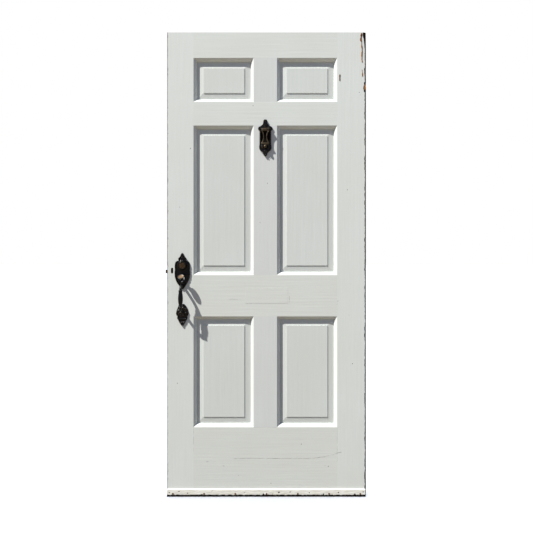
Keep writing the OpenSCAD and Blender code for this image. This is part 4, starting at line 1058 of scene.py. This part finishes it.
# %% [markdown]
# ## Floor and light
# A pale floor, a hard key from high on the left that grazes the face, so each moulding throws its
# shadow, and a soft cool fill from all round. The floor has a soft light of its own and is left out of
# the key by light linking, so it stays pale and no sun shadow falls on it. Floor and sky are white to
# the camera only: what the floor throws back on the door is tan, and what the sky gives it is blue.

# %% Floor and light
FLOOR_SIZE = 60.0


def stage_material(name, seen, bounce):
    """Pale to the camera, and a duller, warmer colour in what it throws back on the door."""
    material, tree, shader, place = new_material(name)
    tree.nodes.remove(shader)
    direct = add_node(tree, "ShaderNodeLightPath").outputs["Is Camera Ray"]
    mottled = add_node(tree, "ShaderNodeMix", {0: noise_at(tree, place, 900.0), 6: srgb(seen),
                                               7: shade(seen, 0.99)}, data_type="RGBA")
    surface = add_node(tree, "ShaderNodeBsdfDiffuse", {"Color": mottled})
    dull = add_node(tree, "ShaderNodeBsdfDiffuse", {"Color": srgb(bounce)})
    mixed = add_node(tree, "ShaderNodeMixShader",
                     {0: direct, 1: dull, 2: surface})
    wire(tree, tree.nodes["Material Output"], {"Surface": mixed})
    return material


floor_mesh = bpy.data.meshes.new("floor")
half = FLOOR_SIZE / 2
floor_mesh.from_pydata([(-half, -half, 0), (half, -half, 0), (half, half, 0), (-half, half, 0)],
                       [], [(0, 1, 2, 3)])
floor = bpy.data.objects.new("floor", floor_mesh)
floor_mesh.materials.append(stage_material("pale_studio_floor", "#ffffff", "#94866f"))
scene.collection.objects.link(floor)

KEY_FROM = Vector((-1.66, -1.0, 2.48))


def add_sun(name, towards, strength, colour, spread_deg, floor_only):
    """A far lamp. Light linking keeps it on the floor, or keeps it off the floor."""
    data = bpy.data.lights.new(name, "SUN")
    data.energy = strength
    data.color = srgb(colour)[:3]
    data.angle = math.radians(spread_deg)
    lamp = bpy.data.objects.new(name, data)
    lamp.rotation_euler = towards.to_track_quat("Z", "Y").to_euler()
    scene.collection.objects.link(lamp)
    reach = bpy.data.collections.new(name + "_reach")
    reach.objects.link(floor)
    lamp.light_linking.receiver_collection = reach
    if not floor_only:
        reach.collection_objects[0].light_linking.link_state = "EXCLUDE"
    return lamp


add_sun("key", KEY_FROM, 6.42, "#fffdf5", 0.9, floor_only=False)
add_sun("floor_glow", Vector((0, 0, 1)), 3.45, "#ffffff", 80.0, floor_only=True)

# The inside of the door faces away from the key, so it has a soft lamp of its own
add_sun("inside_glow", Vector((0.5, 1.0, 0.9)), 1.7, "#fff8ee", 25.0, floor_only=False)

world = bpy.data.worlds.new("studio")
world.use_nodes = True
sky = world.node_tree
FILL_COLOUR, FILL_STRENGTH = "#b0ceff", 0.32
fill = wire(sky, sky.nodes["Background"], {"Color": srgb(FILL_COLOUR), "Strength": FILL_STRENGTH})
pale = add_node(sky, "ShaderNodeBackground", {"Color": (1, 1, 1, 1), "Strength": 1.0})
seen = add_node(sky, "ShaderNodeLightPath").outputs["Is Camera Ray"]
mixed = add_node(sky, "ShaderNodeMixShader", {0: seen, 1: fill, 2: pale})
wire(sky, sky.nodes["World Output"], {"Surface": mixed})
scene.world = world
scene.view_settings.view_transform = "Standard"

# %% [markdown]
# ## The latch spring
# Behind the latch bolt a coil of spring wire pushes it out of the edge of the door. Its back end rests
# on a stop, so when the bolt goes in the coil gets shorter. The frame's coil is rigid and moves with the
# bolt. This copy stays on the leaf instead.

# %% The latch spring
spring = welded_copy("latch_spring", "latch_spring_coil")
spring.data.materials.clear()
spring.data.materials.append(dull_steel)
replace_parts(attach(spring, "leaf"), "latch_spring")
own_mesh(spring)
